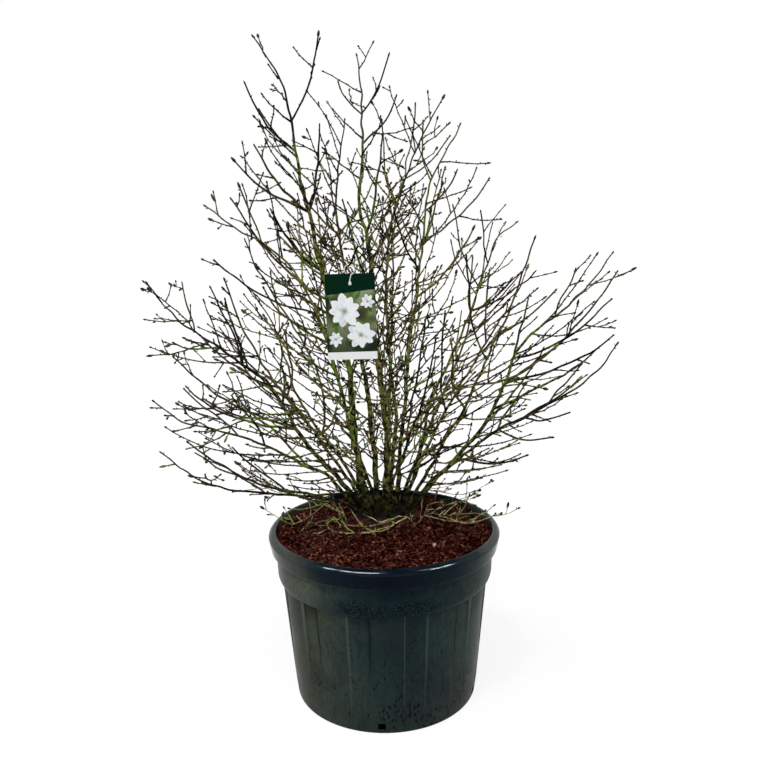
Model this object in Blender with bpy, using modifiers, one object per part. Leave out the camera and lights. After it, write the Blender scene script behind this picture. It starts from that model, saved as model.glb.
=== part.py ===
"""Star magnolia grown as a multi-stemmed shrub in a large nursery container.

A bare winter shrub: twenty woody stems and seven low shoots rise from one root crown, set in potting
soil in a fluted plastic container. A printed label hangs on a twig by a loop strap. Metres, +Z up;
the origin is the middle of the container's underside, and -Y is the side where the label hangs.
"""

import math
import random

import bmesh
import bpy
import numpy as np
from mathutils import Matrix, Vector

CM = 0.01
MM = 0.001
GAP = 0.3 * MM

# Container
RIM_DIAMETER = 0.503
HEIGHT = 0.372
WALL = 3.0 * MM
FLOOR = 4.0 * MM
BASE_RADIUS = 0.1985
LIP_HEIGHT = 39 * MM
LIP_WIDTH = 16 * MM
LIP_ROUND = 11 * MM
LIP_LEAN = 2.5 * MM
SHOULDER_RADIUS = 0.2345
LEDGE_HEIGHT = 0.266
FLUTED_TOP_RADIUS = 0.2245
FLUTED_FOOT_RADIUS = 0.2035
FLUTED_FOOT_HEIGHT = 34 * MM
TURN_STEPS = 52

FLUTE_COUNT = 12
FLUTE_TURN = math.radians(1)
FLUTE_ARC = math.radians(12.2)
FLUTE_DEPTH = 4.2 * MM
FLUTE_FOOT_DEPTH = 0.5 * MM

LEDGE_ROUND = 12 * MM
CUT_OVERRUN = 10 * MM
NOTCH_COUNT = 5
NOTCH_TURN = math.radians(-3)
NOTCH_SIZE = 16 * MM
NOTCH_SILL = 7.5 * MM
NOTCH_CUT = 16 * MM

# Potting soil and root crown
SOIL_EDGE_HEIGHT = HEIGHT - 12 * MM
SOIL_DOME = 15 * MM
CROWN_CENTRE = Vector((0.5, 5.5, 0.0)) * CM
CROWN_RADIUS = 82 * MM
CROWN_BOTTOM = 0.338
CROWN_RISE = 20 * MM
CROWN_SEAT = 4 * MM
SOCKET_BOTTOM = 0.366
FOOT_RISE = 7 * MM

# Label and strap
CARD_WIDTH = 93 * MM
CARD_HEIGHT = 160 * MM
CARD_THICKNESS = 0.8 * MM
CARD_CENTRE = Vector((-5.4, -17.5, 84.4)) * CM
CARD_TILT = math.radians(0.8)
CARD_CORNER = 1.5 * MM
HOLE_RADIUS = 2.6 * MM
HOLE_DROP = 18 * MM
STRAP_RADIUS = 1.0 * MM
STRAP_RING_RADIUS = 9.5 * MM
STRAP_RING_RISE = 7 * MM
TAB_SIZE = Vector((5.0, 2.4, 6.5)) * MM

# Growth
STEM_STEP = 60 * MM
LIMB_STEP = 52 * MM
SHOOT_STEP = 24 * MM
STEM_TAPER = 1.1
LIMB_TAPER = 0.8
TIP_RADIUS = 1.3 * MM
LIMB_BASE_RADIUS = 2.5 * MM
LIMB_ANGLE = math.radians(38)
SHOOT_CLEARANCE = 0.8 * MM
KINK = 2.6 * MM
TRIES = 300

# Each stem: thickness at the foot in mm, its route in cm (foot first, tip last), and the tips in cm
# that its limbs reach. x runs across, y to the back, z up.
STEMS = {
    "stem_01": (18, ((-3.6, 3.6), (-5, 4, 45), (-6.5, 3, 59), (-7, 2, 72), (-10, 0, 83), (-13, -2, 99),
                     (-16, -3, 114), (-18, -2, 127), (-24, 0, 138)),
                ((-11, -4, 137), (-25, -6, 128), (-24, 4, 125), (-23, -10, 116), (-28, -4, 114),
                 (-30, 1, 107), (-12, 6, 122), (-20, -13, 104))),
    "stem_02": (15, ((-1.6, 7.4), (-2.5, 8, 57), (-4, 9, 71), (-7, 11, 86), (-9, 12, 101),
                     (-9, 12, 113), (-7, 12, 124)),
                ((-17, 13, 110), (-1, 18, 112), (-14, 18, 100), (-22, 10, 100))),
    "stem_03": (18, ((0.3, 2.8), (1, 2, 55), (0, 2, 65), (-1.5, 4, 80), (-2, 5, 96), (-4, 5, 108),
                     (-3, 6, 122), (-4, 8, 136)),
                ((2.5, 4, 135), (-8, 9, 131), (4, 9, 128), (1, -6, 118), (5, -3, 110), (-7, -5, 106))),
    "stem_04": (11, ((1.4, 9.4), (3, 12, 58), (2, 13, 70), (1.5, 15, 88), (3, 16, 103), (8, 15, 117),
                     (14, 12, 128)),
                ((8, 8, 126), (8, 21, 123), (1, 20, 125), (16, 18, 121), (11, 24, 110))),
    "stem_05": (11, ((2.7, 5.7), (4, 7, 51), (5, 5, 65), (7, 2, 84), (9, -1, 97), (10, -3, 108),
                     (16, -5, 120)),
                ((9, -3, 121), (15, -9, 111), (22, -3, 110), (14, 6, 113), (18, -10, 100),
                 (3, -10, 104))),
    "stem_06": (10, ((4.6, 8.6), (8, 10, 47), (10, 11, 59), (15, 13, 70), (21, 14, 84), (26, 15, 97),
                     (31, 16, 102)),
                ((22, 9, 104), (17, 20, 106), (32, 20, 90), (22, 24, 94), (34, 10, 91))),
    "stem_07": (12, ((6.2, 4.4), (9, 4.5, 43), (16, 3, 51), (22, 1, 59), (26, -2, 69), (29, -2, 77),
                     (37, -3, 83), (42, -2, 88), (48, 0, 95)),
                ((50, 3, 91), (39, -6, 92), (46, -7, 86), (46, -9, 79), (47, 4, 75), (29, -10, 87),
                 (36, 9, 74))),
    "stem_08": (13, ((-5.4, 6), (-9, 4.5, 45), (-14, 2, 52), (-19, 0, 60), (-24, -1, 69),
                     (-31, -2, 75), (-38, -2, 80), (-44, -2, 85), (-47, -2, 89)),
                ((-42, 4, 90), (-36, 4, 89), (-41, -9, 79), (-31, -6, 87), (-45, 5, 74), (-39, -9, 70),
                 (-20, -8, 78))),
    "stem_09": (9, ((-4.2, 9.2), (-8, 11, 46), (-13, 13, 53), (-20, 15, 64), (-24, 17, 77),
                     (-30, 18, 88)),
                ((-31, 20, 99), (-26, 24, 91), (-36, 14, 78), (-34, 23, 70))),
    "stem_10": (10, ((-1.8, 0.6), (-5, -3, 52), (-9, -8, 72), (-13, -11, 87), (-19, -13, 96),
                     (-27, -14, 101), (-32, -14, 105)),
                ((-25, -17, 108), (-30, -18, 95), (-21, -20, 90))),
    "stem_11": (9, ((-6.2, 3.4), (-10, 1, 46), (-15, -3, 51), (-21, -8, 56), (-28, -13, 61),
                     (-36, -17, 64), (-43, -18, 69)),
                ((-39, -11, 70), (-36, -22, 62), (-28, -19, 70), (-30, -4, 67))),
    "stem_12": (7.5, ((-4.6, 1.0), (-9, -1, 43), (-15, -4, 45), (-20, -6, 46), (-27, -12, 49),
                     (-33, -17, 52), (-38, -21, 57), (-41, -22, 60)),
                ((-37, -12, 57), (-33, -23, 56), (-31, -5, 56))),
    "stem_13": (9, ((-2, 11.6), (-6, 15, 50), (-10, 21, 64), (-14, 27, 80), (-17, 31, 96),
                     (-20, 34, 110)),
                ((-27, 31, 92), (-23, 37, 80), (-8, 37, 102), (-25, 25, 105))),
    "stem_14": (9, ((1, 12.3), (1, 18, 52), (2, 25, 68), (3, 31, 85), (3, 35, 101), (2, 38, 115)),
                ((11, 37, 104), (-5, 41, 94), (9, 42, 84), (-4, 30, 107))),
    "stem_15": (9, ((4.2, 11.2), (9, 16, 50), (15, 22, 62), (21, 27, 76), (25, 31, 90),
                     (28, 34, 102)),
                ((18, 36, 98), (34, 28, 90), (32, 36, 76), (21, 40, 80))),
    "stem_16": (9, ((6.0, 1.6), (10, 1, 45), (15, -2, 51), (21, -6, 58), (28, -10, 63), (36, -13, 68),
                     (42, -14, 73), (45, -15, 78)),
                ((35, -20, 66), (37, -20, 75), (27, -18, 71), (40, -7, 70), (33, -15, 60),
                 (29, -10, 55))),
    "stem_17": (9, ((-2.4, -0.8), (-7, -9, 50), (-12, -17, 61), (-18, -24, 72), (-23, -28, 82),
                     (-26, -30, 92)),
                ((-32, -24, 82), (-16, -31, 83), (-30, -32, 72), (-8, -28, 69))),
    "stem_18": (9, ((3.8, -0.2), (9, -8, 51), (14, -16, 63), (19, -23, 76), (23, -27, 88),
                     (26, -30, 98)),
                ((15, -27, 95), (31, -24, 89), (29, -33, 80), (12, -31, 81))),
    "stem_19": (8, ((0.9, -1.3), (2, -10, 49), (4, -19, 58), (6, -27, 67), (8, -33, 74),
                     (9, -36, 82)),
                ((14, -35, 74), (-3, -31, 66), (8, -24, 84))),
    "stem_20": (9, ((4.6, 6.4), (8, 7, 48), (13, 6, 59), (18, 5, 68), (23, 4, 77), (28, 3, 85),
                     (31, 3, 92)),
                ((22, -5, 92), (24, 10, 91), (13, -6, 84))),
}

# Thin shoots that lie low over the soil, rooted in it beside the crown; same layout as the stems.
LOW_SHOOTS = {
    "low_shoot_01": (4.5, ((-8.4, 1.4), (-9.8, 0.5, 42.4), (-12, -2.2, 43.2), (-14.3, -4.2, 42.2),
                           (-16.9, -5.2, 40.3), (-19.6, -6.4, 40.1), (-22.4, -7.8, 42.4),
                           (-24.8, -8.6, 44.2)),
                     ((-17.2, -9, 39.4), (-20.2, -2.6, 42))),
    "low_shoot_02": (5, ((-9.2, 4.6), (-11.5, 2.8, 41.6), (-15.2, 0.8, 42.3), (-17.2, -0.2, 43.6),
                         (-19.9, -1.4, 45.1), (-23.2, -2.6, 45.7), (-25.4, -3.6, 47.3), (-30, -5, 47)),
                     ((-23.5, -5.4, 49), (-27.4, 0, 49.6))),
    "low_shoot_03": (4.5, ((6.6, -2.8), (4.6, -3.4, 40.3), (1.6, -4, 39.6), (-1.2, -4.6, 38.9),
                           (-4.4, -5, 38.7), (-8, -4.6, 38.7), (-9.2, -3, 40.2), (-10.2, -1.4, 42)),
                     ((-9.4, -8, 38.5), (-4.8, -8.4, 38.6))),
    "low_shoot_04": (4, ((-9.6, -1.8), (-11, -2.4, 39.8), (-12.4, -4, 39), (-11.8, -6.2, 38.6),
                         (-13.2, -8, 38.7), (-13.8, -10.4, 39)),
                     ((-15.8, -5, 39.7), (-10.4, -9.4, 38.4))),
    "low_shoot_05": (4.5, ((7.6, -1.2), (9.6, -2.2, 40.6), (13.6, -3, 39.8), (17.4, -3.4, 40.6),
                           (20.6, -4, 40.8), (23.3, -4.2, 40.1), (27, -4.4, 40.8), (28.6, -4.4, 41.8)),
                     ((19, -8, 40.2), (24.4, -7.6, 42))),
    "low_shoot_06": (4.5, ((9.2, 4.2), (10.6, 3.6, 41), (14.2, 3, 40.3), (18.1, 2.8, 41.7),
                           (20.8, 2.6, 44), (23.9, 2, 45.8)),
                     ((21.6, 6.4, 42.2), (19.4, -0.6, 43))),
    "low_shoot_07": (4.5, ((7.8, 10.4), (9.4, 9.8, 42.2), (12.2, 8.8, 41.6), (17.2, 8.6, 40.5),
                           (20.4, 8, 41.6)),
                     ((16.2, 12, 42), (15, 5.8, 43))),
}

# The twig that carries the label: where it leaves its stem (share of the length) and its route in cm
# to a point inside the strap's ring and on to the tip.
LABEL_STEM = "stem_10"
LABEL_TWIG_START = 0.55
LABEL_TWIG_RADIUS = 1.4 * MM

COLOURS = {
    "container": ((0.018, 0.028, 0.030), 0.42),
    "potting_soil": ((0.060, 0.022, 0.014), 0.95),
    "root_crown": ((0.030, 0.024, 0.014), 0.90),
    "bark": ((0.075, 0.080, 0.030), 0.80),
    "young_bark": ((0.210, 0.230, 0.070), 0.75),
    "label_card": ((0.140, 0.200, 0.120), 0.35),
    "strap": ((0.800, 0.820, 0.800), 0.40),
}


def clear_scene():
    for obj in list(bpy.data.objects):
        bpy.data.objects.remove(obj, do_unlink=True)


def make_collection(name):
    collection = bpy.data.collections.new(name)
    bpy.context.scene.collection.children.link(collection)
    return collection


def make_material(name):
    colour, roughness = COLOURS[name]
    material = bpy.data.materials.new(name)
    material.use_nodes = True
    shader = material.node_tree.nodes["Principled BSDF"]
    shader.inputs["Base Color"].default_value = (*colour, 1.0)
    shader.inputs["Roughness"].default_value = roughness
    shader.inputs["Metallic"].default_value = 0.0
    return material


def finish_piece(obj, name, material, sharp_angle=40):
    obj.name = name
    obj.data.name = name
    obj.data.materials.clear()
    obj.data.materials.append(material)
    obj.data.shade_smooth()
    obj.data.set_sharp_from_angle(angle=math.radians(sharp_angle))
    return obj


def baked(obj):
    """Read the object as its modifiers leave it into a plain, triangulated mesh."""
    evaluated = obj.evaluated_get(bpy.context.evaluated_depsgraph_get())
    mesh = bpy.data.meshes.new_from_object(evaluated)
    form = bmesh.new()
    form.from_mesh(mesh)
    bmesh.ops.remove_doubles(form, verts=form.verts, dist=0.000001)
    bmesh.ops.triangulate(form, faces=form.faces)
    form.to_mesh(mesh)
    form.free()
    return mesh


def combine(body, tools, operation):
    """Join or cut one body with each tool in turn, and remove the tools."""
    for tool in tools:
        modifier = body.modifiers.new(tool.name, "BOOLEAN")
        modifier.operation = operation
        modifier.solver = "EXACT"
        modifier.object = tool
    bpy.context.view_layer.update()
    mesh = baked(body)
    body.modifiers.clear()
    body.data = mesh
    for tool in tools:
        bpy.data.objects.remove(tool, do_unlink=True)
    return body


def turned(name, profile, collection):
    """Turn a profile of (radius, height) points, listed from the top down, about the Z axis."""
    mesh = bpy.data.meshes.new(name)
    points = [(radius, 0.0, height) for radius, height in profile]
    edges = [(index, index + 1) for index in range(len(points) - 1)]
    mesh.from_pydata(points, edges, [])
    obj = bpy.data.objects.new(name, mesh)
    collection.objects.link(obj)
    screw = obj.modifiers.new("Screw", "SCREW")
    screw.steps = TURN_STEPS
    screw.render_steps = TURN_STEPS
    screw.use_merge_vertices = True
    screw.merge_threshold = 0.00001
    bpy.context.view_layer.update()
    obj.data = baked(obj)
    obj.modifiers.clear()
    return obj


def arc(centre, radius, start, end, steps):
    """Points on an arc from start to end, in degrees."""
    angles = [math.radians(start + (end - start) * step / steps) for step in range(steps + 1)]
    return [(centre[0] + radius * math.cos(a), centre[1] + radius * math.sin(a)) for a in angles]


def box(name, size, centre, collection, turn=None):
    form = bmesh.new()
    bmesh.ops.create_cube(form, size=1.0)
    bmesh.ops.scale(form, vec=size, verts=form.verts)
    bmesh.ops.translate(form, vec=centre, verts=form.verts)
    if turn is not None:
        bmesh.ops.transform(form, matrix=turn, verts=form.verts)
    mesh = bpy.data.meshes.new(name)
    form.to_mesh(mesh)
    form.free()
    obj = bpy.data.objects.new(name, mesh)
    collection.objects.link(obj)
    return obj


def prism(name, centre, radius, bottom, top, sides, collection):
    """An upright prism whose flat sides stay at least the given radius from its axis."""
    form = bmesh.new()
    corner_radius = radius / math.cos(math.pi / sides)
    bmesh.ops.create_cone(form, cap_ends=True, segments=sides, radius1=corner_radius,
                          radius2=corner_radius, depth=top - bottom)
    bmesh.ops.translate(form, vec=(centre[0], centre[1], (top + bottom) / 2), verts=form.verts)
    mesh = bpy.data.meshes.new(name)
    form.to_mesh(mesh)
    form.free()
    obj = bpy.data.objects.new(name, mesh)
    collection.objects.link(obj)
    return obj


def tube(name, path, radii, sides, collection, closed=False):
    """A round bar along a path, tapered by the radii, as a welded mesh object."""
    curve = bpy.data.curves.new(name, "CURVE")
    curve.dimensions = "3D"
    curve.bevel_depth = 1.0
    curve.bevel_resolution = (sides - 4) // 2
    curve.resolution_u = 1
    curve.use_fill_caps = True
    spline = curve.splines.new("POLY")
    spline.points.add(len(path) - 1)
    for point, place, radius in zip(spline.points, path, radii):
        point.co = (*place, 1.0)
        point.radius = radius
    spline.use_cyclic_u = closed
    guide = bpy.data.objects.new(name + "_route", curve)
    collection.objects.link(guide)
    bpy.context.view_layer.update()
    obj = bpy.data.objects.new(name, baked(guide))
    obj.matrix_world = guide.matrix_world
    collection.objects.link(obj)
    bpy.data.objects.remove(guide, do_unlink=True)
    return obj


# ---------------------------------------------------------------------------------- container


def wall_radius(height):
    """Outer radius of the fluted wall at a height."""
    share = (height - FLUTED_FOOT_HEIGHT) / (LEDGE_HEIGHT - FLUTED_FOOT_HEIGHT)
    return FLUTED_FOOT_RADIUS + (FLUTED_TOP_RADIUS - FLUTED_FOOT_RADIUS) * share


def outer_profile():
    """The container's outside from its middle at the top to its middle at the foot."""
    rim, lip_foot = RIM_DIAMETER / 2, HEIGHT - LIP_HEIGHT
    return [
        (0.0, HEIGHT),
        (rim - LIP_ROUND - 2 * MM, HEIGHT),
        *arc((rim - LIP_ROUND, HEIGHT - LIP_ROUND), LIP_ROUND, 70, -20, 4),
        (rim - LIP_LEAN, lip_foot + 6 * MM),
        (rim - LIP_LEAN - 3 * MM, lip_foot),
        (SHOULDER_RADIUS + 1.5 * MM, lip_foot - 1.5 * MM),
        (SHOULDER_RADIUS - 0.4 * MM, LEDGE_HEIGHT + LEDGE_ROUND),
        (SHOULDER_RADIUS - 3 * MM, LEDGE_HEIGHT + LEDGE_ROUND / 2),
        (FLUTED_TOP_RADIUS + 1.2 * MM, LEDGE_HEIGHT),
        (wall_radius(LEDGE_HEIGHT - 3 * MM), LEDGE_HEIGHT - 3 * MM),
        (FLUTED_FOOT_RADIUS, FLUTED_FOOT_HEIGHT),
        (BASE_RADIUS + 2.2 * MM, 5 * MM),
        (BASE_RADIUS, 0.0),
        (0.0, 0.0),
    ]


def cavity_profile():
    """The container's inside, from above its mouth down to the middle of its floor."""
    mouth = RIM_DIAMETER / 2 - LIP_WIDTH
    return [
        (0.0, HEIGHT + CUT_OVERRUN),
        (mouth, HEIGHT + CUT_OVERRUN),
        (mouth, HEIGHT - 3 * MM),
        (SHOULDER_RADIUS - WALL, HEIGHT - LIP_HEIGHT),
        (SHOULDER_RADIUS - WALL - 3 * MM, LEDGE_HEIGHT + LEDGE_ROUND / 2),
        (wall_radius(LEDGE_HEIGHT - 3 * MM) - WALL, LEDGE_HEIGHT - 3 * MM),
        (FLUTED_FOOT_RADIUS - WALL, FLUTED_FOOT_HEIGHT),
        (BASE_RADIUS - WALL, FLOOR + 3 * MM),
        (BASE_RADIUS - WALL - 3 * MM, FLOOR),
        (0.0, FLOOR),
    ]


def flute_cutters(inset, collection):
    """Upright bars that press a flat band into the wall, deep at the ledge and fading to the foot."""
    top = LEDGE_HEIGHT - 5 * MM
    foot = FLUTED_FOOT_HEIGHT + 14 * MM
    top_face = wall_radius(top) - FLUTE_DEPTH - inset
    foot_face = wall_radius(foot) - FLUTE_FOOT_DEPTH - inset
    lean = math.atan2(top_face - foot_face, top - foot)
    thickness = 40 * MM
    width = 2 * FLUTED_TOP_RADIUS * math.sin(FLUTE_ARC / 2)
    length = math.hypot(top - foot, top_face - foot_face)
    cutters = []
    for index in range(FLUTE_COUNT):
        azimuth = 2 * math.pi * (index + 0.5) / FLUTE_COUNT - math.pi / 2 + FLUTE_TURN
        place = Matrix.Rotation(azimuth, 4, "Z") @ Matrix.Translation((foot_face, 0.0, foot))
        place = place @ Matrix.Rotation(lean, 4, "Y")
        centre = (thickness / 2, 0.0, length / 2)
        cutters.append(box("flute_cutter", (thickness, width, length), centre, collection, place))
    return cutters


def notch_cutters(collection):
    cutters = []
    for index in range(NOTCH_COUNT):
        azimuth = NOTCH_TURN + 2 * math.pi * index / NOTCH_COUNT - math.pi / 2
        size = (NOTCH_CUT, NOTCH_SIZE, NOTCH_SIZE)
        centre = (BASE_RADIUS + 2 * MM, 0.0, NOTCH_SILL + NOTCH_SIZE / 2)
        turn = Matrix.Rotation(azimuth, 4, "Z")
        cutters.append(box("drain_notch_cutter", size, centre, collection, turn))
    return cutters


def make_container(collection, cutters):
    cavity = turned("cavity", cavity_profile(), cutters)
    cavity = combine(cavity, flute_cutters(WALL, cutters), "DIFFERENCE")
    body = turned("container", outer_profile(), collection)
    tools = flute_cutters(0.0, cutters) + [cavity] + notch_cutters(cutters)
    body = combine(body, tools, "DIFFERENCE")
    return finish_piece(body, "container", make_material("container"), 28)


# ------------------------------------------------------------------------- soil and root crown


def soil_height(x, y):
    """Height of the domed soil surface at a place."""
    edge = RIM_DIAMETER / 2 - 17 * MM
    return SOIL_EDGE_HEIGHT + SOIL_DOME * max(0.0, 1 - (x * x + y * y) / (edge * edge))


def make_soil(collection, cutters, shoot_feet):
    inset = WALL + FLUTE_DEPTH + GAP
    surface = [(radius, soil_height(radius, 0.0)) for radius in (0.0, 0.09, 0.16, 0.21)]
    shoulder = SHOULDER_RADIUS - WALL - GAP
    profile = surface + [
        (RIM_DIAMETER / 2 - LIP_WIDTH - 3 * MM, SOIL_EDGE_HEIGHT),
        (shoulder - 0.2 * MM, HEIGHT - LIP_HEIGHT),
        (shoulder - 4 * MM, LEDGE_HEIGHT + LEDGE_ROUND / 2),
        (wall_radius(LEDGE_HEIGHT - 4 * MM) - inset, LEDGE_HEIGHT - 4 * MM),
        (FLUTED_FOOT_RADIUS - inset, FLUTED_FOOT_HEIGHT),
        (BASE_RADIUS - WALL - 9 * MM, FLOOR + GAP),
        (0.0, FLOOR + GAP),
    ]
    soil = turned("potting_soil", profile, collection)
    recess = prism("crown_recess", CROWN_CENTRE, CROWN_RADIUS + GAP, CROWN_BOTTOM - GAP, 0.45, 24,
                   cutters)
    holes = [prism("shoot_hole", foot, radius + GAP, foot.z - GAP, 0.45, 8, cutters)
             for foot, radius in shoot_feet]
    soil = combine(soil, [recess] + holes, "DIFFERENCE")
    return finish_piece(soil, "potting_soil", make_material("potting_soil"))


def crown_height(x, y):
    """Mean height of the crown's knobbly top at a place."""
    reach = min(1.0, math.hypot(x - CROWN_CENTRE.x, y - CROWN_CENTRE.y) / CROWN_RADIUS)
    shoulder = soil_height(CROWN_CENTRE.x, CROWN_CENTRE.y) - CROWN_SEAT
    return shoulder + CROWN_RISE * math.sqrt(1 - reach * reach)


def make_crown(collection, cutters, stem_feet):
    """A low knobbly dome of merged stem bases, with a socket for each stem."""
    rng = random.Random(7)
    rings = [0.0, 0.3, 0.55, 0.8, 1.0]
    steps = 24
    shoulder = soil_height(CROWN_CENTRE.x, CROWN_CENTRE.y) - CROWN_SEAT
    form = bmesh.new()
    bmesh.ops.create_cone(form, cap_ends=True, segments=steps, radius1=CROWN_RADIUS,
                          radius2=CROWN_RADIUS, depth=shoulder - CROWN_BOTTOM)
    bmesh.ops.translate(form, vec=(0, 0, (shoulder + CROWN_BOTTOM) / 2), verts=form.verts)
    top = max(form.faces, key=lambda face: face.calc_center_median().z)
    for inner, outer in zip(rings[-2:0:-1], rings[:0:-1]):
        bmesh.ops.inset_region(form, faces=[top], thickness=CROWN_RADIUS * (outer - inner) * 0.995)
    bmesh.ops.poke(form, faces=[top])
    for vert in form.verts:
        reach = min(1.0, math.hypot(vert.co.x, vert.co.y) / CROWN_RADIUS)
        if vert.co.z > shoulder - MM and reach < 0.99:
            rise = crown_height(CROWN_CENTRE.x + vert.co.x, CROWN_CENTRE.y + vert.co.y) - shoulder
            vert.co.z += rise * (1 + rng.uniform(-0.22, 0.10))
    bmesh.ops.translate(form, vec=CROWN_CENTRE, verts=form.verts)
    mesh = bpy.data.meshes.new("root_crown")
    form.to_mesh(mesh)
    form.free()
    crown = bpy.data.objects.new("root_crown", mesh)
    collection.objects.link(crown)
    sockets = [prism("stem_socket", foot, radius + GAP, foot.z - GAP, 0.45, 8, cutters)
               for foot, radius in stem_feet]
    crown = combine(crown, sockets, "DIFFERENCE")
    return finish_piece(crown, "root_crown", make_material("root_crown"))


# --------------------------------------------------------------------------------------- growth


def smooth_route(points, step):
    """A smooth curve through the points, read at about equal steps."""
    points = np.array(points, float)
    padded = np.vstack([2 * points[0] - points[1], points, 2 * points[-1] - points[-2]])
    dense = []
    for index in range(len(points) - 1):
        before, start, end, after = padded[index:index + 4]
        for t in np.arange(0.0, 1.0, 0.1):
            dense.append(0.5 * (2 * start + (end - before) * t
                                + (2 * before - 5 * start + 4 * end - after) * t ** 2
                                + (3 * start - before - 3 * end + after) * t ** 3))
    dense.append(points[-1])
    return resample(np.array(dense), step)


def resample(points, step):
    lengths = np.r_[0.0, np.cumsum(np.linalg.norm(np.diff(points, axis=0), axis=1))]
    count = max(3, round(lengths[-1] / step))
    marks = np.linspace(0.0, lengths[-1], count + 1)
    return np.stack([np.interp(marks, lengths, points[:, axis]) for axis in range(3)], axis=1)


def kinked(path, rng, amount, first):
    """Shift each joint of the path a little, as wood bends at its old buds."""
    shifts = [[rng.uniform(-amount, amount) for axis in range(3)] for point in path]
    path = path.copy()
    path[first:-1] += np.array(shifts)[first:-1]
    return path


class Canopy:
    """The shoots placed so far, as rods, so that each new one keeps clear of the others."""

    def __init__(self):
        self.starts = np.empty((0, 3))
        self.ends = np.empty((0, 3))
        self.radii = np.empty(0)
        self.owners = np.empty(0, int)

    def add(self, path, radii, owner):
        self.starts = np.vstack([self.starts, path[:-1]])
        self.ends = np.vstack([self.ends, path[1:]])
        self.radii = np.r_[self.radii, np.maximum(radii[:-1], radii[1:])]
        self.owners = np.r_[self.owners, np.full(len(path) - 1, owner)]

    def is_clear(self, path, radii, owner):
        """True where the path clears all other shoots, and its own ones beyond its first run."""
        for index in range(len(path) - 1):
            others = self.owners != owner if index < 2 else self.owners >= 0
            if not others.any():
                continue
            gaps = rod_distance(path[index], path[index + 1], self.starts[others], self.ends[others])
            room = self.radii[others] + max(radii[index], radii[index + 1]) + SHOOT_CLEARANCE
            if (gaps < room).any():
                return False
        return True


def rod_distance(start, end, starts, ends):
    """Shortest distance from one rod's axis to each of the others."""
    own, other, offset = end - start, ends - starts, start - starts
    own_sq = own @ own
    other_sq = np.einsum("ij,ij->i", other, other)
    along_other = np.einsum("ij,ij->i", other, offset)
    along_own = offset @ own
    both = other @ own
    spread = np.maximum(own_sq * other_sq - both * both, 1e-12)
    s = np.clip((both * along_other - along_own * other_sq) / spread, 0, 1)
    t = np.clip((both * s + along_other) / other_sq, 0, 1)
    s = np.clip((both * t - along_own) / own_sq, 0, 1)
    apart = offset + s[:, None] * own - t[:, None] * other
    return np.linalg.norm(apart, axis=1)


def taper(base, tip, count, power):
    shares = np.linspace(0.0, 1.0, count)
    return tip + (base - tip) * (1 - shares) ** power


def stem_path(foot, foot_top, route, step, rng, spread):
    """From an upright foot along the route's points, each moved by up to the spread."""
    points = [Vector((foot.x, foot.y, foot_top))]
    points += [Vector(point) * CM for point in route]
    for point in points[1:-1]:
        point += Vector([rng.uniform(-spread, spread) for axis in range(3)])
    path = kinked(smooth_route(points, step), rng, KINK, 1)
    return np.vstack([foot, path])


def branching_point(path, tip):
    """The joint of the path from which the tip lies nearest to the branching angle."""
    best = min(range(2, len(path) - 2), key=lambda i: abs(leaving_angle(path, i, tip) - LIMB_ANGLE))
    return best


def leaving_angle(path, index, tip):
    along = Vector(path[index + 1] - path[index - 1])
    return along.angle(Vector(tip - path[index]))


def limb_path(path, index, tip, rng, spread):
    """An arc that leaves the path sideways and turns up towards its tip."""
    start = Vector(path[index])
    along = Vector(path[index + 1] - path[index - 1]).normalized()
    reach = Vector(tip) - start
    out = (reach - along * reach.dot(along)).normalized()
    first = start + (along * 0.75 + out).normalized() * reach.length * 0.38
    last = Vector(tip) - (reach.normalized() + Vector((0, 0, 0.5))).normalized() * reach.length * 0.3
    for control in (first, last):
        control += Vector([rng.uniform(-spread, spread) for axis in range(3)])
    shares = np.linspace(0.0, 1.0, 13)[:, None]
    arc_points = ((1 - shares) ** 3 * np.array(start) + 3 * shares * (1 - shares) ** 2 * np.array(first)
                  + 3 * shares ** 2 * (1 - shares) * np.array(last) + shares ** 3 * np.array(tip))
    return kinked(resample(arc_points, LIMB_STEP), rng, KINK * 0.8, 1)


def grow(canopy, owner, seed, make_path, base_radius, power):
    """Try slightly wider variants of a path until one clears the rest of the canopy."""
    for attempt in range(TRIES):
        rng = random.Random(f"{seed}/{attempt}")
        path = make_path(rng, attempt * 0.15 * MM)
        radii = taper(base_radius, TIP_RADIUS, len(path), power)
        if canopy.is_clear(path, radii, owner):
            canopy.add(path, radii, owner)
            return path, radii
    raise RuntimeError(f"no room for {seed}")


def foot_of(name, entry, bottom):
    thickness, route, tips = entry
    return Vector((route[0][0] * CM, route[0][1] * CM, bottom)), thickness / 2 * MM


def grow_stem(canopy, owner, name, entry, foot):
    thickness, route, tips = entry
    ground, step = (crown_height, STEM_STEP) if name in STEMS else (soil_height, SHOOT_STEP)
    foot_top = ground(foot.x, foot.y) + FOOT_RISE
    return grow(canopy, owner, name,
                lambda rng, spread: stem_path(foot, foot_top, route[1:], step, rng, spread),
                thickness / 2 * MM, STEM_TAPER)


def grow_limbs(canopy, owner, name, entry, stem):
    path, radii = stem
    limbs = []
    for number, tip in enumerate(entry[2]):
        target = np.array(tip) * CM
        index = branching_point(path, target)
        base = min(LIMB_BASE_RADIUS, radii[index] * 0.72)
        limbs.append(grow(canopy, owner, f"{name}/{number}",
                          lambda rng, spread: limb_path(path, index, target, rng, spread),
                          base, LIMB_TAPER))
    return limbs


def make_shoot(name, stem, limbs, sides, collection, material):
    body = tube(name, *stem, sides, collection)
    tools = [tube(name + "_limb", path, radii, 4, collection) for path, radii in limbs]
    return finish_piece(combine(body, tools, "UNION"), name, material, 60)


# ------------------------------------------------------------------------------ label and strap


def label_place():
    """The card's own frame: origin at its middle, x along its width, z up its height."""
    return Matrix.Translation(CARD_CENTRE) @ Matrix.Rotation(-CARD_TILT, 4, "Y")


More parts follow.
